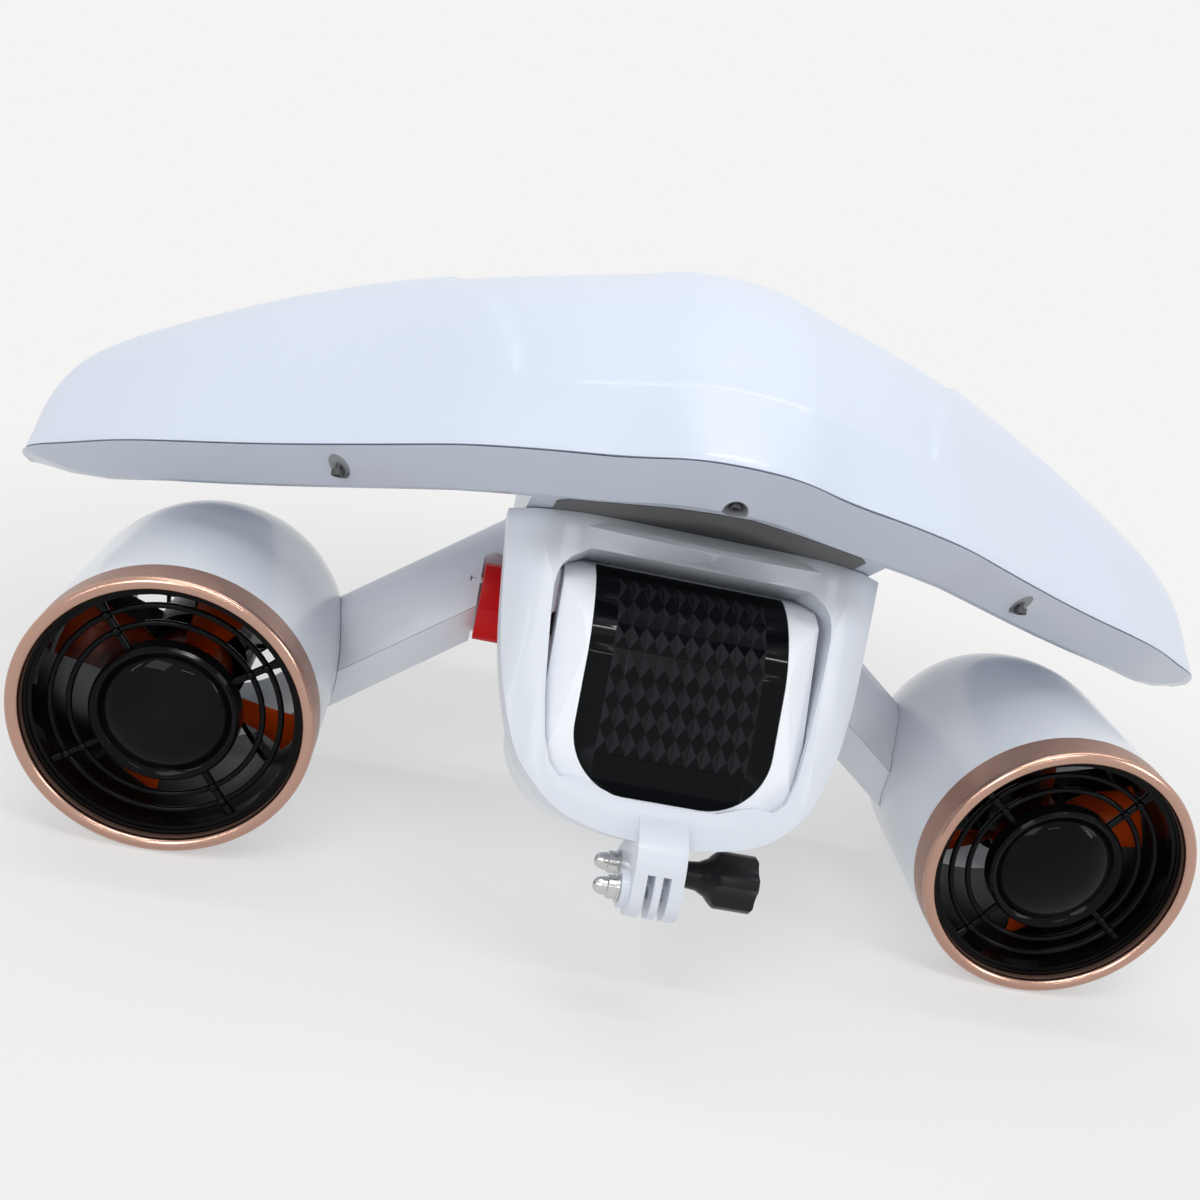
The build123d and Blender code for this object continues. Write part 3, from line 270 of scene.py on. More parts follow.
finishes = {name: newFinish(name, look) for name, look in {
    "whiteFloat": {
        "colour": (0.655, 0.72, 0.84), "shade": (0.635, 0.70, 0.825), "roughness": 0.38,
        "spread": 0.04, "bump": 0.002, "specular": 0.3, "coat": 0.5, "coatRoughness": 0.15,
    },
    # painted shade: the float's white made darker for its underside, which faces down away from
    # the lamps
    "shadedTrayWhite": {
        "colour": (0.50, 0.545, 0.63), "shade": (0.47, 0.515, 0.60), "roughness": 0.36,
        "spread": 0.04, "bump": 0.002, "specular": 0.35, "coat": 0.5, "coatRoughness": 0.14,
    },
    "whiteBody": {
        "colour": (0.87, 0.90, 0.95), "shade": (0.85, 0.88, 0.93), "roughness": 0.38,
        "spread": 0.05, "bump": 0.004, "specular": 0.35, "rubbed": (0.80, 0.84, 0.92),
    },
    # painted shade: the body's white made darker for the bracket under the float
    "shadedBracketWhite": {
        "colour": (0.68, 0.72, 0.79), "shade": (0.66, 0.70, 0.77), "roughness": 0.36,
        "spread": 0.05, "bump": 0.004, "specular": 0.35, "coat": 0.25, "coatRoughness": 0.15,
        # painted shade over the beam under the float
        "beamShadowColour": (0.47, 0.50, 0.55),
    },
    # painted shade: the ducts' white made darker for the float's shadow on them
    "shadedDuctWhite": {
        "colour": (0.64, 0.67, 0.72), "shade": (0.62, 0.65, 0.70), "roughness": 0.3,
        "spread": 0.04, "bump": 0.002, "specular": 0.5, "coat": 0.6, "coatRoughness": 0.12,
    },
    # painted shade: the body's white made darker for the arms in the float's shade
    "shadedArmWhite": {
        "colour": (0.74, 0.76, 0.80), "shade": (0.71, 0.73, 0.77), "roughness": 0.36,
        "spread": 0.05, "bump": 0.004, "specular": 0.35,
    },
    # painted shade inside the tray's screw recesses
    "recessPaintedShade": {"colour": (0.24, 0.25, 0.27), "roughness": 0.5, "bump": 0.0},
    # painted shade: a dark sheet in the slot between the tray and the beam
    "slotPaintedShade": {
        "colour": (0.13, 0.13, 0.13), "shade": (0.08, 0.08, 0.08), "roughness": 0.6,
        "bump": 0.0,
    },
    "copperBand": {
        "colour": (0.36, 0.215, 0.17), "shade": (0.31, 0.185, 0.145), "roughness": 0.4,
        "bump": 0.01, "metal": 0.6,
    },
    "roseLip": {
        "colour": (0.53, 0.33, 0.26), "shade": (0.47, 0.285, 0.22), "roughness": 0.2,
        "bump": 0.0, "metal": 1.0,
    },
    "blackGloss": {
        "colour": (0.002, 0.0022, 0.003), "shade": (0.003, 0.0035, 0.0045),
        "roughness": 0.08, "spread": 0.04, "bump": 0.0, "specular": 0.09,
    },
    "coverGloss": {
        "colour": (0.0015, 0.002, 0.003), "shade": (0.003, 0.0035, 0.0045),
        "roughness": 0.05, "spread": 0.03, "bump": 0.0, "specular": 0.09,
        # painted light on the facets, set by the way each one leans
        "facetLightColour": (0.017, 0.018, 0.021),
    },
    "domeGloss": {
        "colour": (0.0012, 0.0015, 0.002), "shade": (0.006, 0.0075, 0.009),
        "roughness": 0.04, "cloudGain": 3.0, "spread": 0.03, "bump": 0.0, "specular": 0.07,
    },
    "blackLiner": {
        "colour": (0.002, 0.0018, 0.0018), "shade": (0.004, 0.003, 0.003),
        "roughness": 0.28, "bump": 0.0, "specular": 0.1,
    },
    "blackSatin": {
        "colour": (0.004, 0.004, 0.005), "shade": (0.007, 0.007, 0.008), "roughness": 0.3,
        "bump": 0.02, "specular": 0.25,
    },
    "blackRubber": {
        "colour": (0.010, 0.010, 0.012), "shade": (0.016, 0.016, 0.018), "roughness": 0.62,
        "bump": 0.05, "specular": 0.2,
    },
    # painted shade: the orange blades made almost black for the dark inside of the duct, with
    # noise letting their orange through in patches
    "bladeShadedOrange": {
        "colour": (0.02, 0.0015, 0.001), "shade": (0.68, 0.075, 0.003), "roughness": 0.25,
        "cloudGain": 4.0, "bump": 0.0, "specular": 0.2,
    },
    "triggerRed": {
        "colour": (0.55, 0.0025, 0.004), "shade": (0.50, 0.002, 0.0035), "roughness": 0.3,
        "bump": 0.005, "specular": 0.15, "rubbed": (0.7, 0.05, 0.05),
    },
    "steel": {
        "colour": (0.62, 0.61, 0.60), "shade": (0.55, 0.55, 0.55), "roughness": 0.16,
        "bump": 0.0, "metal": 1.0,
    },
    "motorCan": {
        "colour": (0.02, 0.02, 0.022), "shade": (0.015, 0.015, 0.016), "roughness": 0.35,
        "bump": 0.0, "metal": 0.9,
    },
    "cellWrap": {"colour": (0.03, 0.12, 0.42), "shade": (0.02, 0.1, 0.36), "roughness": 0.4},
    "boardGreen": {
        "colour": (0.01, 0.16, 0.06), "shade": (0.01, 0.12, 0.05), "roughness": 0.4,
    },
    "contactBrass": {
        "colour": (0.75, 0.55, 0.2), "shade": (0.6, 0.42, 0.15), "roughness": 0.25,
        "metal": 1.0,
    },
    "windowSmoke": {
        "colour": (0.008, 0.01, 0.012), "shade": (0.012, 0.014, 0.016), "roughness": 0.05,
    },
    "caseGrey": {
        "colour": (0.05, 0.05, 0.055), "shade": (0.04, 0.04, 0.045), "roughness": 0.45,
        "bump": 0.02,
    },
}.items()}

slotFinish = {
    "white_float": "whiteFloat", "white_body": "whiteBody", "white_duct": "shadedDuctWhite",
    "copper_band": "copperBand", "black_gloss": "blackGloss", "black_liner": "blackLiner",
    "black_satin": "blackSatin", "black_rubber": "blackRubber", "blade_orange": "bladeShadedOrange",
    "trigger_red": "triggerRed", "steel": "steel", "motor_can": "motorCan",
    "cell_wrap": "cellWrap", "board_green": "boardGreen", "contact_brass": "contactBrass",
    "window_clear": "windowSmoke", "case_grey": "caseGrey",
}
slotOf = {part["node"]: part["material_slot"] for part in frame["record"]["subparts"]}
bodyOf = {member: bodyName
          for bodyName, members in frame["record"]["behaviour"]["bodies"].items()
          for member in members}


def refinish(piece, finish):
    piece.data.materials.clear()
    piece.data.materials.append(finishes[finish])


for name, node in nodes.items():
    refinish(node, slotFinish[slotOf[name]])
print("finishes assigned")


def selectOnly(piece):
    bpy.ops.object.select_all(action="DESELECT")
    piece.select_set(True)
    bpy.context.view_layer.objects.active = piece


def smoothFaces(piece, angle):
    selectOnly(piece)
    bpy.ops.object.shade_smooth_by_angle(angle=math.radians(angle))


def settle(piece, name, body, finish, smooth=30.0):
    selectOnly(piece)
    bpy.ops.object.transform_apply(location=True, rotation=True, scale=True)
    smoothFaces(piece, smooth)
    piece.name = name
    refinish(piece, finish)
    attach(piece, body)
    return piece


def applyModifiers(piece):
    selectOnly(piece)
    for modifier in list(piece.modifiers):
        bpy.ops.object.modifier_apply(modifier=modifier.name)


def addBevel(piece, width, segments, angle):
    bevel = piece.modifiers.new("round", "BEVEL")
    bevel.width = width
    bevel.segments = segments
    bevel.limit_method = "ANGLE"
    bevel.angle_limit = math.radians(angle)


def paintWhere(piece, finish, test):  # gives the faces that the test picks a second finish
    piece.data.materials.append(finishes[finish])
    place = len(piece.data.materials) - 1
    for face in piece.data.polygons:
        if test(face.center):
            face.material_index = place


weld = {"skin": 0.00001, "copy": 0.00002}  # metres


def makeSkin(loops):  # closed loops of places, joined in turn to a skin of four-sided faces
    count = len(loops[0])
    bpy.ops.object.select_all(action="DESELECT")
    bpy.ops.mesh.primitive_grid_add(x_subdivisions=len(loops) - 1, y_subdivisions=count,
                                    size=1.0)
    piece = bpy.context.active_object
    order = sorted(range(len(piece.data.vertices)), key=lambda i: (
        round(piece.data.vertices[i].co.x, 5), round(piece.data.vertices[i].co.y, 5)))
    for rank, index in enumerate(order):
        column, row = divmod(rank, count + 1)
        piece.data.vertices[index].co = loops[column][row % count]
    bpy.ops.object.mode_set(mode="EDIT")
    bpy.ops.mesh.select_all(action="SELECT")
    bpy.ops.mesh.remove_doubles(threshold=weld["skin"])
    bpy.ops.mesh.select_all(action="DESELECT")
    bpy.ops.mesh.select_mode(type="EDGE")
    bpy.ops.mesh.select_non_manifold()
    bpy.ops.mesh.fill_holes(sides=0)
    bpy.ops.mesh.select_all(action="SELECT")
    bpy.ops.mesh.normals_make_consistent(inside=False)
    bpy.ops.object.mode_set(mode="OBJECT")
    return piece


def makeLathe(side, profile, segments):  # profile of (depth behind the mouth, radius)
    middle = ductMiddle(side)
    loops = []
    for step in range(segments + 1):
        turn = 2 * math.pi * step / segments
        loops.append([Vector((
            middle + radius * math.cos(turn), bodySettings["mouth"] + depth,
            bodySettings["axisHeight"] + radius * math.sin(turn))) / 1000
            for depth, radius in profile])
    return makeSkin(loops)


def joinPieces(pieces):
    bpy.ops.object.select_all(action="DESELECT")
    for piece in pieces:
        piece.select_set(True)
    bpy.context.view_layer.objects.active = pieces[0]
    bpy.ops.object.join()
    return pieces[0]


# The float's upper shell, drawn section by section along its span, in millimetres
floatSettings = {
    "stations": (  # out, front edge, crease back, crease up, crest back, crest up, rear edge
        (0, -135, 10, 34, 115, 120, 25), (20, -132, 9, 34, 106, 116.5, 26),
        (42, -119, 7, 33.5, 94.5, 111.5, 28), (70, -107, 10.4, 34.2, 87, 107, 33),
        (88, -98.5, 15, 36, 83.5, 105, 38), (104, -89.6, 20, 42.3, 82, 103.8, 44),
        (125, -74, 23, 43.8, 83, 105, 57), (150, -55, 24, 44.5, 85, 105.5, 74),
        (176, -36, 24, 44.7, 84, 103, 92), (204, -17, 23, 44.3, 81, 97.5, 106),
        (232, 0.5, 22, 41.8, 74, 88, 117), (260, 20.5, 20, 36.4, 62, 77, 125),
        (285, 43.5, 15, 29.9, 48, 66, 127), (300, 57, 11, 22.2, 37, 54, 122),
        (309, 68, 7, 14.1, 25, 37, 113), (314, 79, 4, 6.8, 13, 17, 104),
    ),
    "halfSpan": 314,
    "smoothReach": 9,
    "parting": 120.5,
    "base": 120.9,
    "frontBulge": 0.4,
    "bulgeFrom": 40,  # a front face shorter than this bulges less
    "creaseRound": 4.5,
    "creaseShare": 0.3,  # most of the front face that the crease's rounding takes
    "crestReach": 0.62,  # how far the crest runs back before it falls
    "tailHeight": 0.5,
    # Hollow underneath, outside the keel
    "keelHalf": 74,
    "trayFloor": 108.0,
    "setback": 20.0,
    "lipFlat": 3.0,
    "vaultSlope": 0.4,
    "vaultLift": ((0, -0.5), (260, -0.5), (285, 3.5), (300, 7.5), (309, 10.2), (330, 12.3)),
    "vaultSearch": 200,
    # Sunk panel over the middle, its edge as (back, out)
    "panelEdge": ((-140, 78), (-125, 82), (-77, 90), (-50, 102), (-15, 119), (12, 131),
                  (70, 138), (100, 140)),
    "panelDrop": 1.5,
    "panelFade": 2.6,
    "panelFront": 8,  # counted in points of the section, as the two below
    "panelRise": 4,
    "panelPoints": (7, 47),
    # Sections along the half span: (out to, step), closer over the panel's edge
    "nearSteps": (70, 3.5),
    "keelPlaces": (73.5, 74.5),
    "panelSteps": (142, 0.9),
    "farSteps": (296, 3.2),
    "tipPlaces": (299, 301.5, 304, 306, 308, 309.6, 311, 312.2, 313.1, 313.7, 314.0),
    "tipStart": 309.5,
    "tipLength": 4.5,
    "tipLeast": 0.04,
    "edgeRound": 0.5,
}


def readTable(rows, at):  # straight-line reading of a table of (place, value)
    for (low, first), (high, second) in zip(rows, rows[1:]):
        if at <= high:
            return first + (second - first) * max(0.0, (at - low) / (high - low))
    return rows[-1][1]


def readStations(rows, column, x):  # smooth curve through one column of the stations
    count = len(rows)
    for i in range(count - 1):
        if x <= rows[i + 1][0] or i == count - 2:
            break
    x0, x1 = rows[i][0], rows[i + 1][0]
    y0, y1 = rows[i][column], rows[i + 1][column]

    def slope(k):
        if k == 0:
            return 0.0
        after = min(k + 1, count - 1)
        return (rows[after][column] - rows[k - 1][column]) / (rows[after][0] - rows[k - 1][0])

    width = x1 - x0
    t = (x - x0) / width
    return (y0 * (2 * t ** 3 - 3 * t ** 2 + 1) + y1 * (3 * t ** 2 - 2 * t ** 3)
            + slope(i) * width * (t ** 3 - 2 * t ** 2 + t)
            + slope(i + 1) * width * (t ** 3 - t ** 2))


def floatTable():  # every millimetre of half span, smoothed but for the tip
    rows = floatSettings["stations"]
    halfSpan = floatSettings["halfSpan"]
    raw = [[readStations(rows, column, x) for column in range(1, 7)]
           for x in range(halfSpan + 1)]
    smoothRows = []
    for x in range(halfSpan + 1):
        reach = min(floatSettings["smoothReach"], (halfSpan - x) // 3)
        near = [raw[abs(x + step)] for step in range(-reach, reach + 1)]
        smoothRows.append([sum(values) / len(near) for values in zip(*near)])
    return smoothRows


def onLine(a, b, t):
    return tuple(p + (q - p) * t for p, q in zip(a, b))


def onBend(a, b, c, t):  # curve from a to c, drawn towards b
    return tuple((1 - t) ** 2 * p + 2 * t * (1 - t) * q + t * t * r
                 for p, q, r in zip(a, b, c))


def onLongBend(a, b, c, d, t):  # curve from a to d, drawn towards b and then c
    return tuple((1 - t) ** 3 * p + 3 * t * (1 - t) ** 2 * q + 3 * t * t * (1 - t) * r
                 + t ** 3 * s for p, q, r, s in zip(a, b, c, d))


def vaultHeight(x, back, lip):
    return (floatSettings["trayFloor"] + readTable(floatSettings["vaultLift"], x)
            + floatSettings["vaultSlope"] * max(0.0, back - lip - floatSettings["lipFlat"]))


def floatSection(table, x):
    look = floatSettings
    low = min(int(x), look["halfSpan"] - 1)
    front, crease, lift, crest, top, rear = onLine(table[low], table[low + 1], x - low)
    base = look["base"]
    frontEdge = (front, base)
    creaseLine = (front + crease, look["parting"] + lift)
    crestLine = (front + crest, look["parting"] + top)
    rearEdge = (rear, base)
    points = []

    # Front face, with a slight bulge
    length = math.dist(frontEdge, creaseLine)
    cut = min(look["creaseRound"], length * look["creaseShare"])
    stop = 1 - cut / length
    normal = ((frontEdge[1] - creaseLine[1]) / length, (creaseLine[0] - frontEdge[0]) / length)
    for k in range(7):
        t = stop * k / 7
        bulge = (look["frontBulge"] * math.sin(math.pi * min(1.0, t * 1.1))
                 * min(1.0, length / look["bulgeFrom"]))
        place = onLine(frontEdge, creaseLine, t)
        points.append((place[0] + normal[0] * bulge, place[1] + normal[1] * bulge))

    # Rounded crease, then the flank up to the crest
    rise = ((creaseLine[0] + crestLine[0]) / 2, crestLine[1])
    start = onLine(frontEdge, creaseLine, stop)
    tUp = min(0.3, cut / (2 * max(math.dist(creaseLine, rise), 0.5)))
    finish = onBend(creaseLine, rise, crestLine, tUp)
    for k in range(5):
        points.append(onBend(start, creaseLine, finish, k / 5))
    for k in range(16):
        points.append(onBend(creaseLine, rise, crestLine, tUp + (1 - tUp) * k / 16))

    # Back from the crest, down to the rear edge or to the hollow underneath
    fall = (crestLine[0] + (rearEdge[0] - crestLine[0]) * look["crestReach"], crestLine[1])
    drop = (rearEdge[0], base + (crestLine[1] - base) * look["tailHeight"])
    lip = front + look["setback"]
    end = 1.0
    if x > look["keelHalf"]:
        for k in range(1, look["vaultSearch"] + 1):
            place = onLongBend(crestLine, fall, drop, rearEdge, k / look["vaultSearch"])
            if place[1] < vaultHeight(x, place[0], lip):
                end = (k - 0.5) / look["vaultSearch"]
                break
    for k in range(21):
        points.append(onLongBend(crestLine, fall, drop, rearEdge, end * k / 20))

    # Underside, along the hollow's slope and then the flat base
    last = points[-1]
    hollow = max(0.0, base - vaultHeight(x, lip, lip))
    meet = lip + look["lipFlat"] + hollow / look["vaultSlope"]
    if end == 1.0 or meet > last[0] - 2:
        meet = (front + last[0]) / 2
    for k in range(1, 6):
        points.append(onLine(last, (meet, base), k / 5))
    for k in range(1, 4):
        points.append(onLine((meet, base), frontEdge, k / 4))
    return points


def panelDepth(x, back, step):  # 0 outside the sunk middle panel, 1 well inside it
    edge = readTable(floatSettings["panelEdge"], back)
    inside = min(1.0, max(0.0, (edge - abs(x)) / floatSettings["panelFade"] + 0.5))
    above = min(1.0, max(0.0, (step - floatSettings["panelFront"]) / floatSettings["panelRise"]))
    ease = inside * inside * (3 - 2 * inside)
    return ease * above


def sinkPanel(section, x):  # moves each point in, square to the section's outline
    first, last = floatSettings["panelPoints"]
    sunk = []
    for k, (back, height) in enumerate(section):
        if first <= k <= last:
            before, after = section[k - 1], section[k + 1]
            run = (after[0] - before[0], after[1] - before[1])
            size = math.hypot(*run) or 1.0
            depth = floatSettings["panelDrop"] * panelDepth(x, back, k)
            back += run[1] / size * depth
            height -= run[0] / size * depth
        sunk.append((back, height))
    return sunk


def tipShrink(out):  # rounds the tip off, 1 before it starts
    beyond = (out - floatSettings["tipStart"]) / floatSettings["tipLength"]
    if beyond <= 0:
        return 1.0
    least = floatSettings["tipLeast"]
    return math.sqrt(max(0.0, 1 - beyond ** 2)) * (1 - least) + least


def floatPlaces():
    half = [0.0]
    for (limit, step), more in ((floatSettings["nearSteps"], floatSettings["keelPlaces"]),
                                (floatSettings["panelSteps"], ()),
                                (floatSettings["farSteps"], floatSettings["tipPlaces"])):
        while half[-1] < limit:
            half.append(half[-1] + step)
        half += more
    return [-x for x in reversed(half[1:])] + half


def makeFloatTop():
    table = floatTable()
    base = floatSettings["base"]
    loops = []
    for x in floatPlaces():
        section = floatSection(table, min(abs(x), floatSettings["halfSpan"] - 0.01))
        if abs(x) <= floatSettings["panelSteps"][0]:
            section = sinkPanel(section, x)
        shrink = tipShrink(abs(x))
        middle = sum(back for back, height in section) / len(section)
        loops.append([onBody(x, middle + (back - middle) * shrink,
                             base + (height - base) * shrink) for back, height in section])
    piece = makeSkin(loops)
    addBevel(piece, floatSettings["edgeRound"] / 1000, 2, 50)
    applyModifiers(piece)
    settle(piece, "floatTop", "hull", "whiteFloat", 32.0)
    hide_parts("float_top_shell")
    return piece


floatTop = makeFloatTop()
print("float's upper shell made,", len(floatTop.data.polygons), "faces")

# Edges of the moulded and turned pieces, in millimetres
edgeRounds = {
    "float_bracket": 0.9, "centre_housing": 0.8, "battery_cover": 0.0, "rear_cover": 0.6,
    "float_bottom_shell": 1.3, "clamp_knob": 0.5, "clamp_nut": 0.2, "camera_nut": 0.2,
}
pairRounds = {
    "arm_upper": 1.2, "arm_lower": 1.2, "trigger": 0.8, "duct_shell": 0.3, "bezel": 0.0,
    "duct_liner": 0.3, "nose_dome": 0.0, "propeller": 0.2,
    "propeller_nut": 0.4, "stator": 0.0, "outlet_guard": 0.0, "release_button": 0.4,
}
for name, size in pairRounds.items():
    for side in ("left", "right"):
        edgeRounds[side + "_" + name] = size
plainAngle = 28.0
smoothAngles = {"battery_cover": 11.0, "left_nose_dome": 60.0, "right_nose_dome": 60.0}


def roundedCopy(nodeName, width, angle):
    piece = bpy.data.objects.new(nodeName + "_skin", nodes[nodeName].data.copy())
    scene.collection.objects.link(piece)
    selectOnly(piece)
    bpy.ops.object.mode_set(mode="EDIT")
    bpy.ops.mesh.select_all(action="SELECT")
    bpy.ops.mesh.remove_doubles(threshold=weld["copy"])
    bpy.ops.object.mode_set(mode="OBJECT")
    if width:
        addBevel(piece, width / 1000, 3, angle)
        applyModifiers(piece)
    smoothFaces(piece, angle)
    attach(piece, bodyOf[nodeName])
    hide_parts(nodeName)
    return piece


skins = {name: roundedCopy(name, size, smoothAngles.get(name, plainAngle))
         for name, size in edgeRounds.items()}
print("edges rounded on", len(skins), "pieces")

# Finishes that differ from their slot's (darker whites on the tray, bracket and arms as painted
# shade), and the bright front lip of each copper bezel
skinFinishes = {
    "battery_cover": "coverGloss", "float_bottom_shell": "shadedTrayWhite",
    "float_bracket": "shadedBracketWhite", "left_arm_upper": "shadedArmWhite",
    "left_arm_lower": "shadedArmWhite", "right_arm_upper": "shadedArmWhite",
    "right_arm_lower": "shadedArmWhite", "left_nose_dome": "domeGloss",
    "right_nose_dome": "domeGloss",
}
for name, finish in skinFinishes.items():
    refinish(skins[name], finish)
lipDepth = 1.4
lipBack = (bodySettings["mouth"] + lipDepth) / 1000
for side in ("left", "right"):
    paintWhere(skins[side + "_bezel"], "roseLip", lambda centre: centre.y < lipBack)

# Inlet grilles: rim, two rings, four spokes with feet and beads, and the dome's collar
grilleSettings = {
    "depth": 9.0, "rings": (41.0, 49.0), "bar": 1.35, "ringSegments": 120,
    "rimOuter": 57.3, "rimInner": 55.3, "rimFront": 5.0, "rimBack": 11.0,
    "collar": ((7.3, 25.6), (5.2, 27.9), (3.6, 29.4), (3.4, 30.8), (4.6, 31.9),
               (11.5, 32.2), (12.6, 31.0), (12.6, 25.6)),
    "collarSegments": 96,
    "turn": {"left": 36.0, "right": 54.0},
    "spoke": 1.75, "spokeStart": 31.0, "spokeSunk": 0.6, "spokeSides": 20,
    "foot": 2.6, "footLength": 5.0, "footMiddle": 2.4,
    "bead": 2.2, "beadForward": 0.9,
}


def ringProfile(depth, radius, bar, points=14):
    return [(depth + bar * math.sin(2 * math.pi * k / points),
             radius + bar * math.cos(2 * math.pi * k / points)) for k in range(points)]


def makeSpoke(side, turn):
    look = grilleSettings

    def along(reach, forward=0.0):
        return Vector((ductMiddle(side) + reach * math.cos(turn),
                       bodySettings["mouth"] + look["depth"] - forward,
                       bodySettings["axisHeight"] + reach * math.sin(turn))) / 1000

    parts = []
    inner, outer = look["spokeStart"], look["rimInner"] + look["spokeSunk"]
    outward = (0, math.pi / 2 - turn, 0)
    bpy.ops.mesh.primitive_cylinder_add(
        vertices=look["spokeSides"], radius=look["spoke"] / 1000,
        depth=(outer - inner) / 1000, location=along((inner + outer) / 2), rotation=outward)
    parts.append(bpy.context.active_object)
    bpy.ops.mesh.primitive_cone_add(
        vertices=look["spokeSides"], radius1=look["spoke"] / 1000,
        radius2=look["foot"] / 1000, depth=look["footLength"] / 1000,
        location=along(outer - look["footMiddle"]), rotation=outward)
    parts.append(bpy.context.active_object)
    for ring in look["rings"]:
        bpy.ops.mesh.primitive_uv_sphere_add(segments=20, ring_count=12,
                                             radius=look["bead"] / 1000,
                                             location=along(ring, look["beadForward"]))
        parts.append(bpy.context.active_object)
    return parts


def makeGrille(side):
    look = grilleSettings
    parts = [makeLathe(side, ringProfile(look["depth"], ring, look["bar"]),
                       look["ringSegments"]) for ring in look["rings"]]
    rim = ((look["rimFront"], look["rimInner"]), (look["rimFront"], look["rimOuter"]),
           (look["rimBack"], look["rimOuter"]), (look["rimBack"], look["rimInner"]))
    parts.append(makeLathe(side, rim, look["ringSegments"]))
    parts.append(makeLathe(side, look["collar"], look["collarSegments"]))
    for spoke in range(4):
        parts += makeSpoke(side, math.radians(look["turn"][side] + 90 * spoke))
    for part in parts:
        selectOnly(part)
        bpy.ops.object.transform_apply(location=True, rotation=True, scale=True)
    grille = joinPieces(parts)
    settle(grille, side + "Grille", "hull", "blackGloss", 40.0)
    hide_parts(side + "_inlet_grille")


makeGrille("left")
makeGrille("right")
print("duct trim made")

# Cut pyramids over the smoked front cover
facetSettings = {"columns": 10, "rows": 7, "width": 6.2, "height": 10.4, "start": 14.0,
                 "lift": 0.35, "rise": 1.7, "lookFrom": -220}


def makeFacets():
    look = facetSettings
    cover = nodes["battery_cover"]
    tree = BVHTree.FromPolygons([v.co for v in cover.data.vertices],
                                [tuple(p.vertices) for p in cover.data.polygons])
    inward = (onBody(0, 1, 0) - onBody(0, 0, 0)).normalized()

    def onCover(x, height):
        spot = tree.ray_cast(onBody(x, look["lookFrom"], height), inward)[0]
        return spot - inward * look["lift"] / 1000

    left = -look["width"] * look["columns"] / 2
    grid = [[onCover(left + look["width"] * column, look["start"] + look["height"] * row)
             for column in range(look["columns"] + 1)] for row in range(look["rows"] + 1)]
    parts = []
    bpy.ops.object.select_all(action="DESELECT")
    for row in range(look["rows"]):
        for column in range(look["columns"]):
            corners = [grid[row][column], grid[row][column + 1],
                       grid[row + 1][column + 1], grid[row + 1][column]]
            middle = sum(corners, Vector()) / 4
            outward = (corners[1] - corners[3]).cross(corners[2] - corners[0]).normalized()
            if outward.dot(inward) > 0:
                outward = -outward
            bpy.ops.mesh.primitive_cone_add(vertices=4, radius1=0.003, depth=0.002)
            part = bpy.context.active_object
            part.location = (0, 0, 0)
            for vertex, place in zip(part.data.vertices,
                                     corners + [middle + outward * look["rise"] / 1000]):
                vertex.co = place
            parts.append(part)
    field = joinPieces(parts)
    selectOnly(field)
    bpy.ops.object.mode_set(mode="EDIT")
    bpy.ops.mesh.select_all(action="SELECT")
    bpy.ops.mesh.normals_make_consistent(inside=False)
    bpy.ops.object.mode_set(mode="OBJECT")
    settle(field, "coverFacets", bodyOf["battery_cover"], "coverGloss", 5.0)


makeFacets()
print("cover's facets made")

# Screw recesses in the float's tray with painted shade inside, and a dark sheet as painted shade
# in the slot between the tray and the beam
traySettings = {
    "screws": ((0, -116, 0.0), (152.3, -43, 0.73), (-152.3, -43, -0.73)),  # out, back, lean
    "recessRadius": 4.75,
    "recessHeights": (106, 116),
    "lipRun": (20.0, -12.1),  # back and down, from the front edge to the tray's floor
    "lipTop": 120.1,
    "cutAlong": 0.7,  # share of that run where a boss is trimmed
    "cutClear": 0.12,
    "cutSize": (16, 50, 12),
    "slotFront": ((-63.9, -82.6), (-60, -88), (-48.2, -93.4), (-30, -102.5), (-19.2, -107),
                  (-3.9, -110.6), (9, -111.6), (29.9, -103.7), (51.6, -93.4),
                  (61, -88.5), (64.5, -83)),
    "slotBack": -62.0,
    "slotLow": 107.58,
    "slotHigh": 107.76,
}


# faces inside the tray's screw recesses, which take painted shade
def inRecess(centre):
    place = toBody(centre)
    low, high = traySettings["recessHeights"]
    return low < place.z < high and any(
        math.hypot(place.x - x, place.y - back) < traySettings["recessRadius"]
        for x, back, lean in traySettings["screws"])


def trimBoss(piece, x, lean):  # takes off the part of a screw boss outside the lip
    look = traySettings
    front = readTable([(row[0], row[1]) for row in floatSettings["stations"]], abs(x))
    run, fall = look["lipRun"]
    across = onBody(1, lean, 0) - onBody(0, 0, 0)
    slope = onBody(0, run, fall) - onBody(0, 0, 0)
    outward = across.cross(slope).normalized()
    if outward.z > 0:
        outward = -outward
    across.normalize()
    low = outward.cross(across)
    width, length, height = (size / 1000 for size in look["cutSize"])
    middle = onBody(x, front + run * look["cutAlong"], look["lipTop"] + fall * look["cutAlong"])
    middle += outward * (look["cutClear"] / 1000 + height / 2)
    bpy.ops.mesh.primitive_cube_add(size=1.0)
    cutter = bpy.context.active_object
    turn = Matrix((across, low, outward)).transposed().to_4x4()
    size = Matrix.Diagonal((width, length, height, 1.0))
    cutter.matrix_world = Matrix.Translation(middle) @ turn @ size
    cut = piece.modifiers.new("trim", "BOOLEAN")
    cut.operation = "DIFFERENCE"
    cut.solver = "EXACT"
    cut.object = cutter
    applyModifiers(piece)
    bpy.data.objects.remove(cutter)


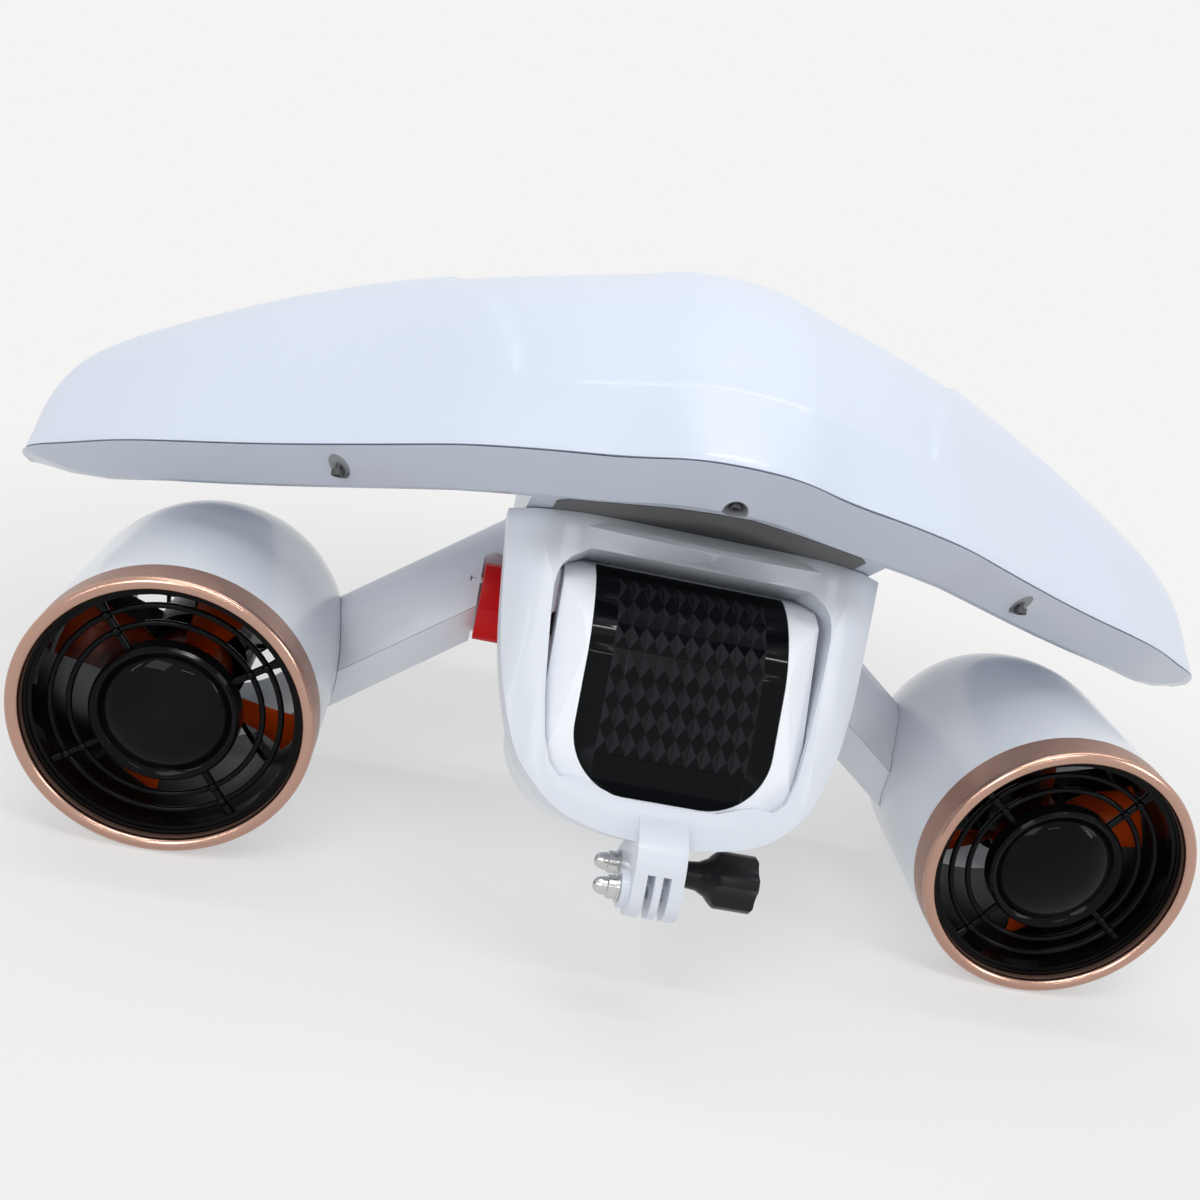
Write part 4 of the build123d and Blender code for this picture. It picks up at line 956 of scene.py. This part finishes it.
# a thin dark sheet under the tray's lip, painted shade for the slot between the tray and the
# beam
def makeSlotShadeSheet():
    look = traySettings
    loops = [[onBody(x, back, look["slotLow"]), onBody(x, look["slotBack"], look["slotLow"]),
              onBody(x, look["slotBack"], look["slotHigh"]), onBody(x, back, look["slotHigh"])]
             for x, back in look["slotFront"]]
    settle(makeSkin(loops), "slotShade", "hull", "slotPaintedShade", 30.0)


tray = skins["float_bottom_shell"]
for x, back, lean in traySettings["screws"]:
    trimBoss(tray, x, lean)
smoothFaces(tray, plainAngle)
# painted shade on the faces inside the screw recesses
paintWhere(tray, "recessPaintedShade", inRecess)
# the screws get the dark case grey in place of steel, as painted shade in their recesses
refinish(nodes["float_screws"], "caseGrey")
makeSlotShadeSheet()
print("tray details made")

# Floor, lights and world
studioSettings = {
    "pale": (0.905, 0.903, 0.900),
    "floorColour": (0.80, 0.80, 0.80),
    "floorHalf": 3.0,
    "floorDrop": 0.0004,
    "floorGlow": 0.5,
    "fadeStart": 0.28,
    "fadeEnd": 0.72,
    "worldFill": 0.38,  # its light on the object
    "worldSeen": 0.62,  # added where the camera or a reflection sees it
    "lamps": {  # place, aim, size, watts
        "topLamp": ((-0.2, -0.3, 1.7), (0, 0, 0.15), (1.4, 0.7), 3),
        "keyLamp": ((-0.9, -1.35, 1.25), (0, 0, 0.15), (0.85, 0.75), 9),
        "sideLamp": ((1.5, -0.75, 1.0), (0, 0, 0.15), (0.6, 0.7), 4.5),
        "highStrip": ((0.0, -0.65, 1.55), (0, 0, 0.1), (1.1, 0.035), 5),
        "creaseStrip": ((0.2, 0.34, 1.75), (0.2, 0, 0.2), (2.6, 0.07), 8),
        "frontStrip": ((0.25, -1.7, 1.35), (0, 0, 0.1), (0.6, 0.03), 1.6),
        "leftStrip": ((-1.35, -0.85, 0.75), (0, 0, 0.1), (0.03, 0.5), 1.2),
        "rightStrip": ((1.45, -0.9, 0.8), (0, 0, 0.1), (0.03, 0.5), 1.2),
    },
}


def floorFinish():  # plain floor that fades to the world's tone away from the object
    material = bpy.data.materials.new("studioFloor")
    material.use_nodes = True
    tree = material.node_tree
    shader = tree.nodes["Principled BSDF"]
    shader.inputs["Base Color"].default_value = (*studioSettings["floorColour"], 1)
    shader.inputs["Roughness"].default_value = 1.0
    shader.inputs["Specular IOR Level"].default_value = 0.0
    glow = tree.nodes.new("ShaderNodeEmission")
    glow.inputs["Color"].default_value = (*studioSettings["pale"], 1)
    coords = tree.nodes.new("ShaderNodeTexCoord")
    length = tree.nodes.new("ShaderNodeVectorMath")
    length.operation = "LENGTH"
    tree.links.new(coords.outputs["Object"], length.inputs[0])
    fade = tree.nodes.new("ShaderNodeMapRange")
    fade.interpolation_type = "SMOOTHSTEP"
    fade.inputs["From Min"].default_value = studioSettings["fadeStart"]
    fade.inputs["From Max"].default_value = studioSettings["fadeEnd"]
    fade.inputs["To Min"].default_value = studioSettings["floorGlow"]
    tree.links.new(length.outputs["Value"], fade.inputs["Value"])
    mix = tree.nodes.new("ShaderNodeMixShader")
    tree.links.new(fade.outputs["Result"], mix.inputs["Fac"])
    tree.links.new(shader.outputs["BSDF"], mix.inputs[1])
    tree.links.new(glow.outputs["Emission"], mix.inputs[2])
    tree.links.new(mix.outputs["Shader"], tree.nodes["Material Output"].inputs["Surface"])
    return material


bpy.ops.object.select_all(action="DESELECT")
bpy.ops.mesh.primitive_plane_add(size=2 * studioSettings["floorHalf"])
floor = bpy.context.active_object
floor.name = "floor"
floor.location.z = -studioSettings["floorDrop"]
floor.data.materials.append(floorFinish())

world = bpy.data.worlds.new("studio")
world.use_nodes = True
scene.world = world
worldTree = world.node_tree
background = worldTree.nodes["Background"]
background.inputs["Color"].default_value = (*studioSettings["pale"], 1)
paths = worldTree.nodes.new("ShaderNodeLightPath")
seen = addMath(worldTree, "MAXIMUM", paths.outputs["Is Camera Ray"],
               paths.outputs["Is Glossy Ray"])
seen = addMath(worldTree, "MAXIMUM", seen, paths.outputs["Is Transmission Ray"])
strength = addMath(worldTree, "MULTIPLY_ADD", seen, studioSettings["worldSeen"],
                   studioSettings["worldFill"])
worldTree.links.new(strength, background.inputs["Strength"])


def softLamp(name, place, aim, size, power):
    data = bpy.data.lights.new(name, "AREA")
    data.shape = "RECTANGLE"
    data.size, data.size_y = size
    data.energy = power
    lamp = bpy.data.objects.new(name, data)
    scene.collection.objects.link(lamp)
    lamp.location = place
    lamp.rotation_euler = (Vector(aim) - Vector(place)).to_track_quat("-Z", "Y").to_euler()


for name, lampLook in studioSettings["lamps"].items():
    softLamp(name, *lampLook)
print("studio set")

bpy.context.view_layer.update()
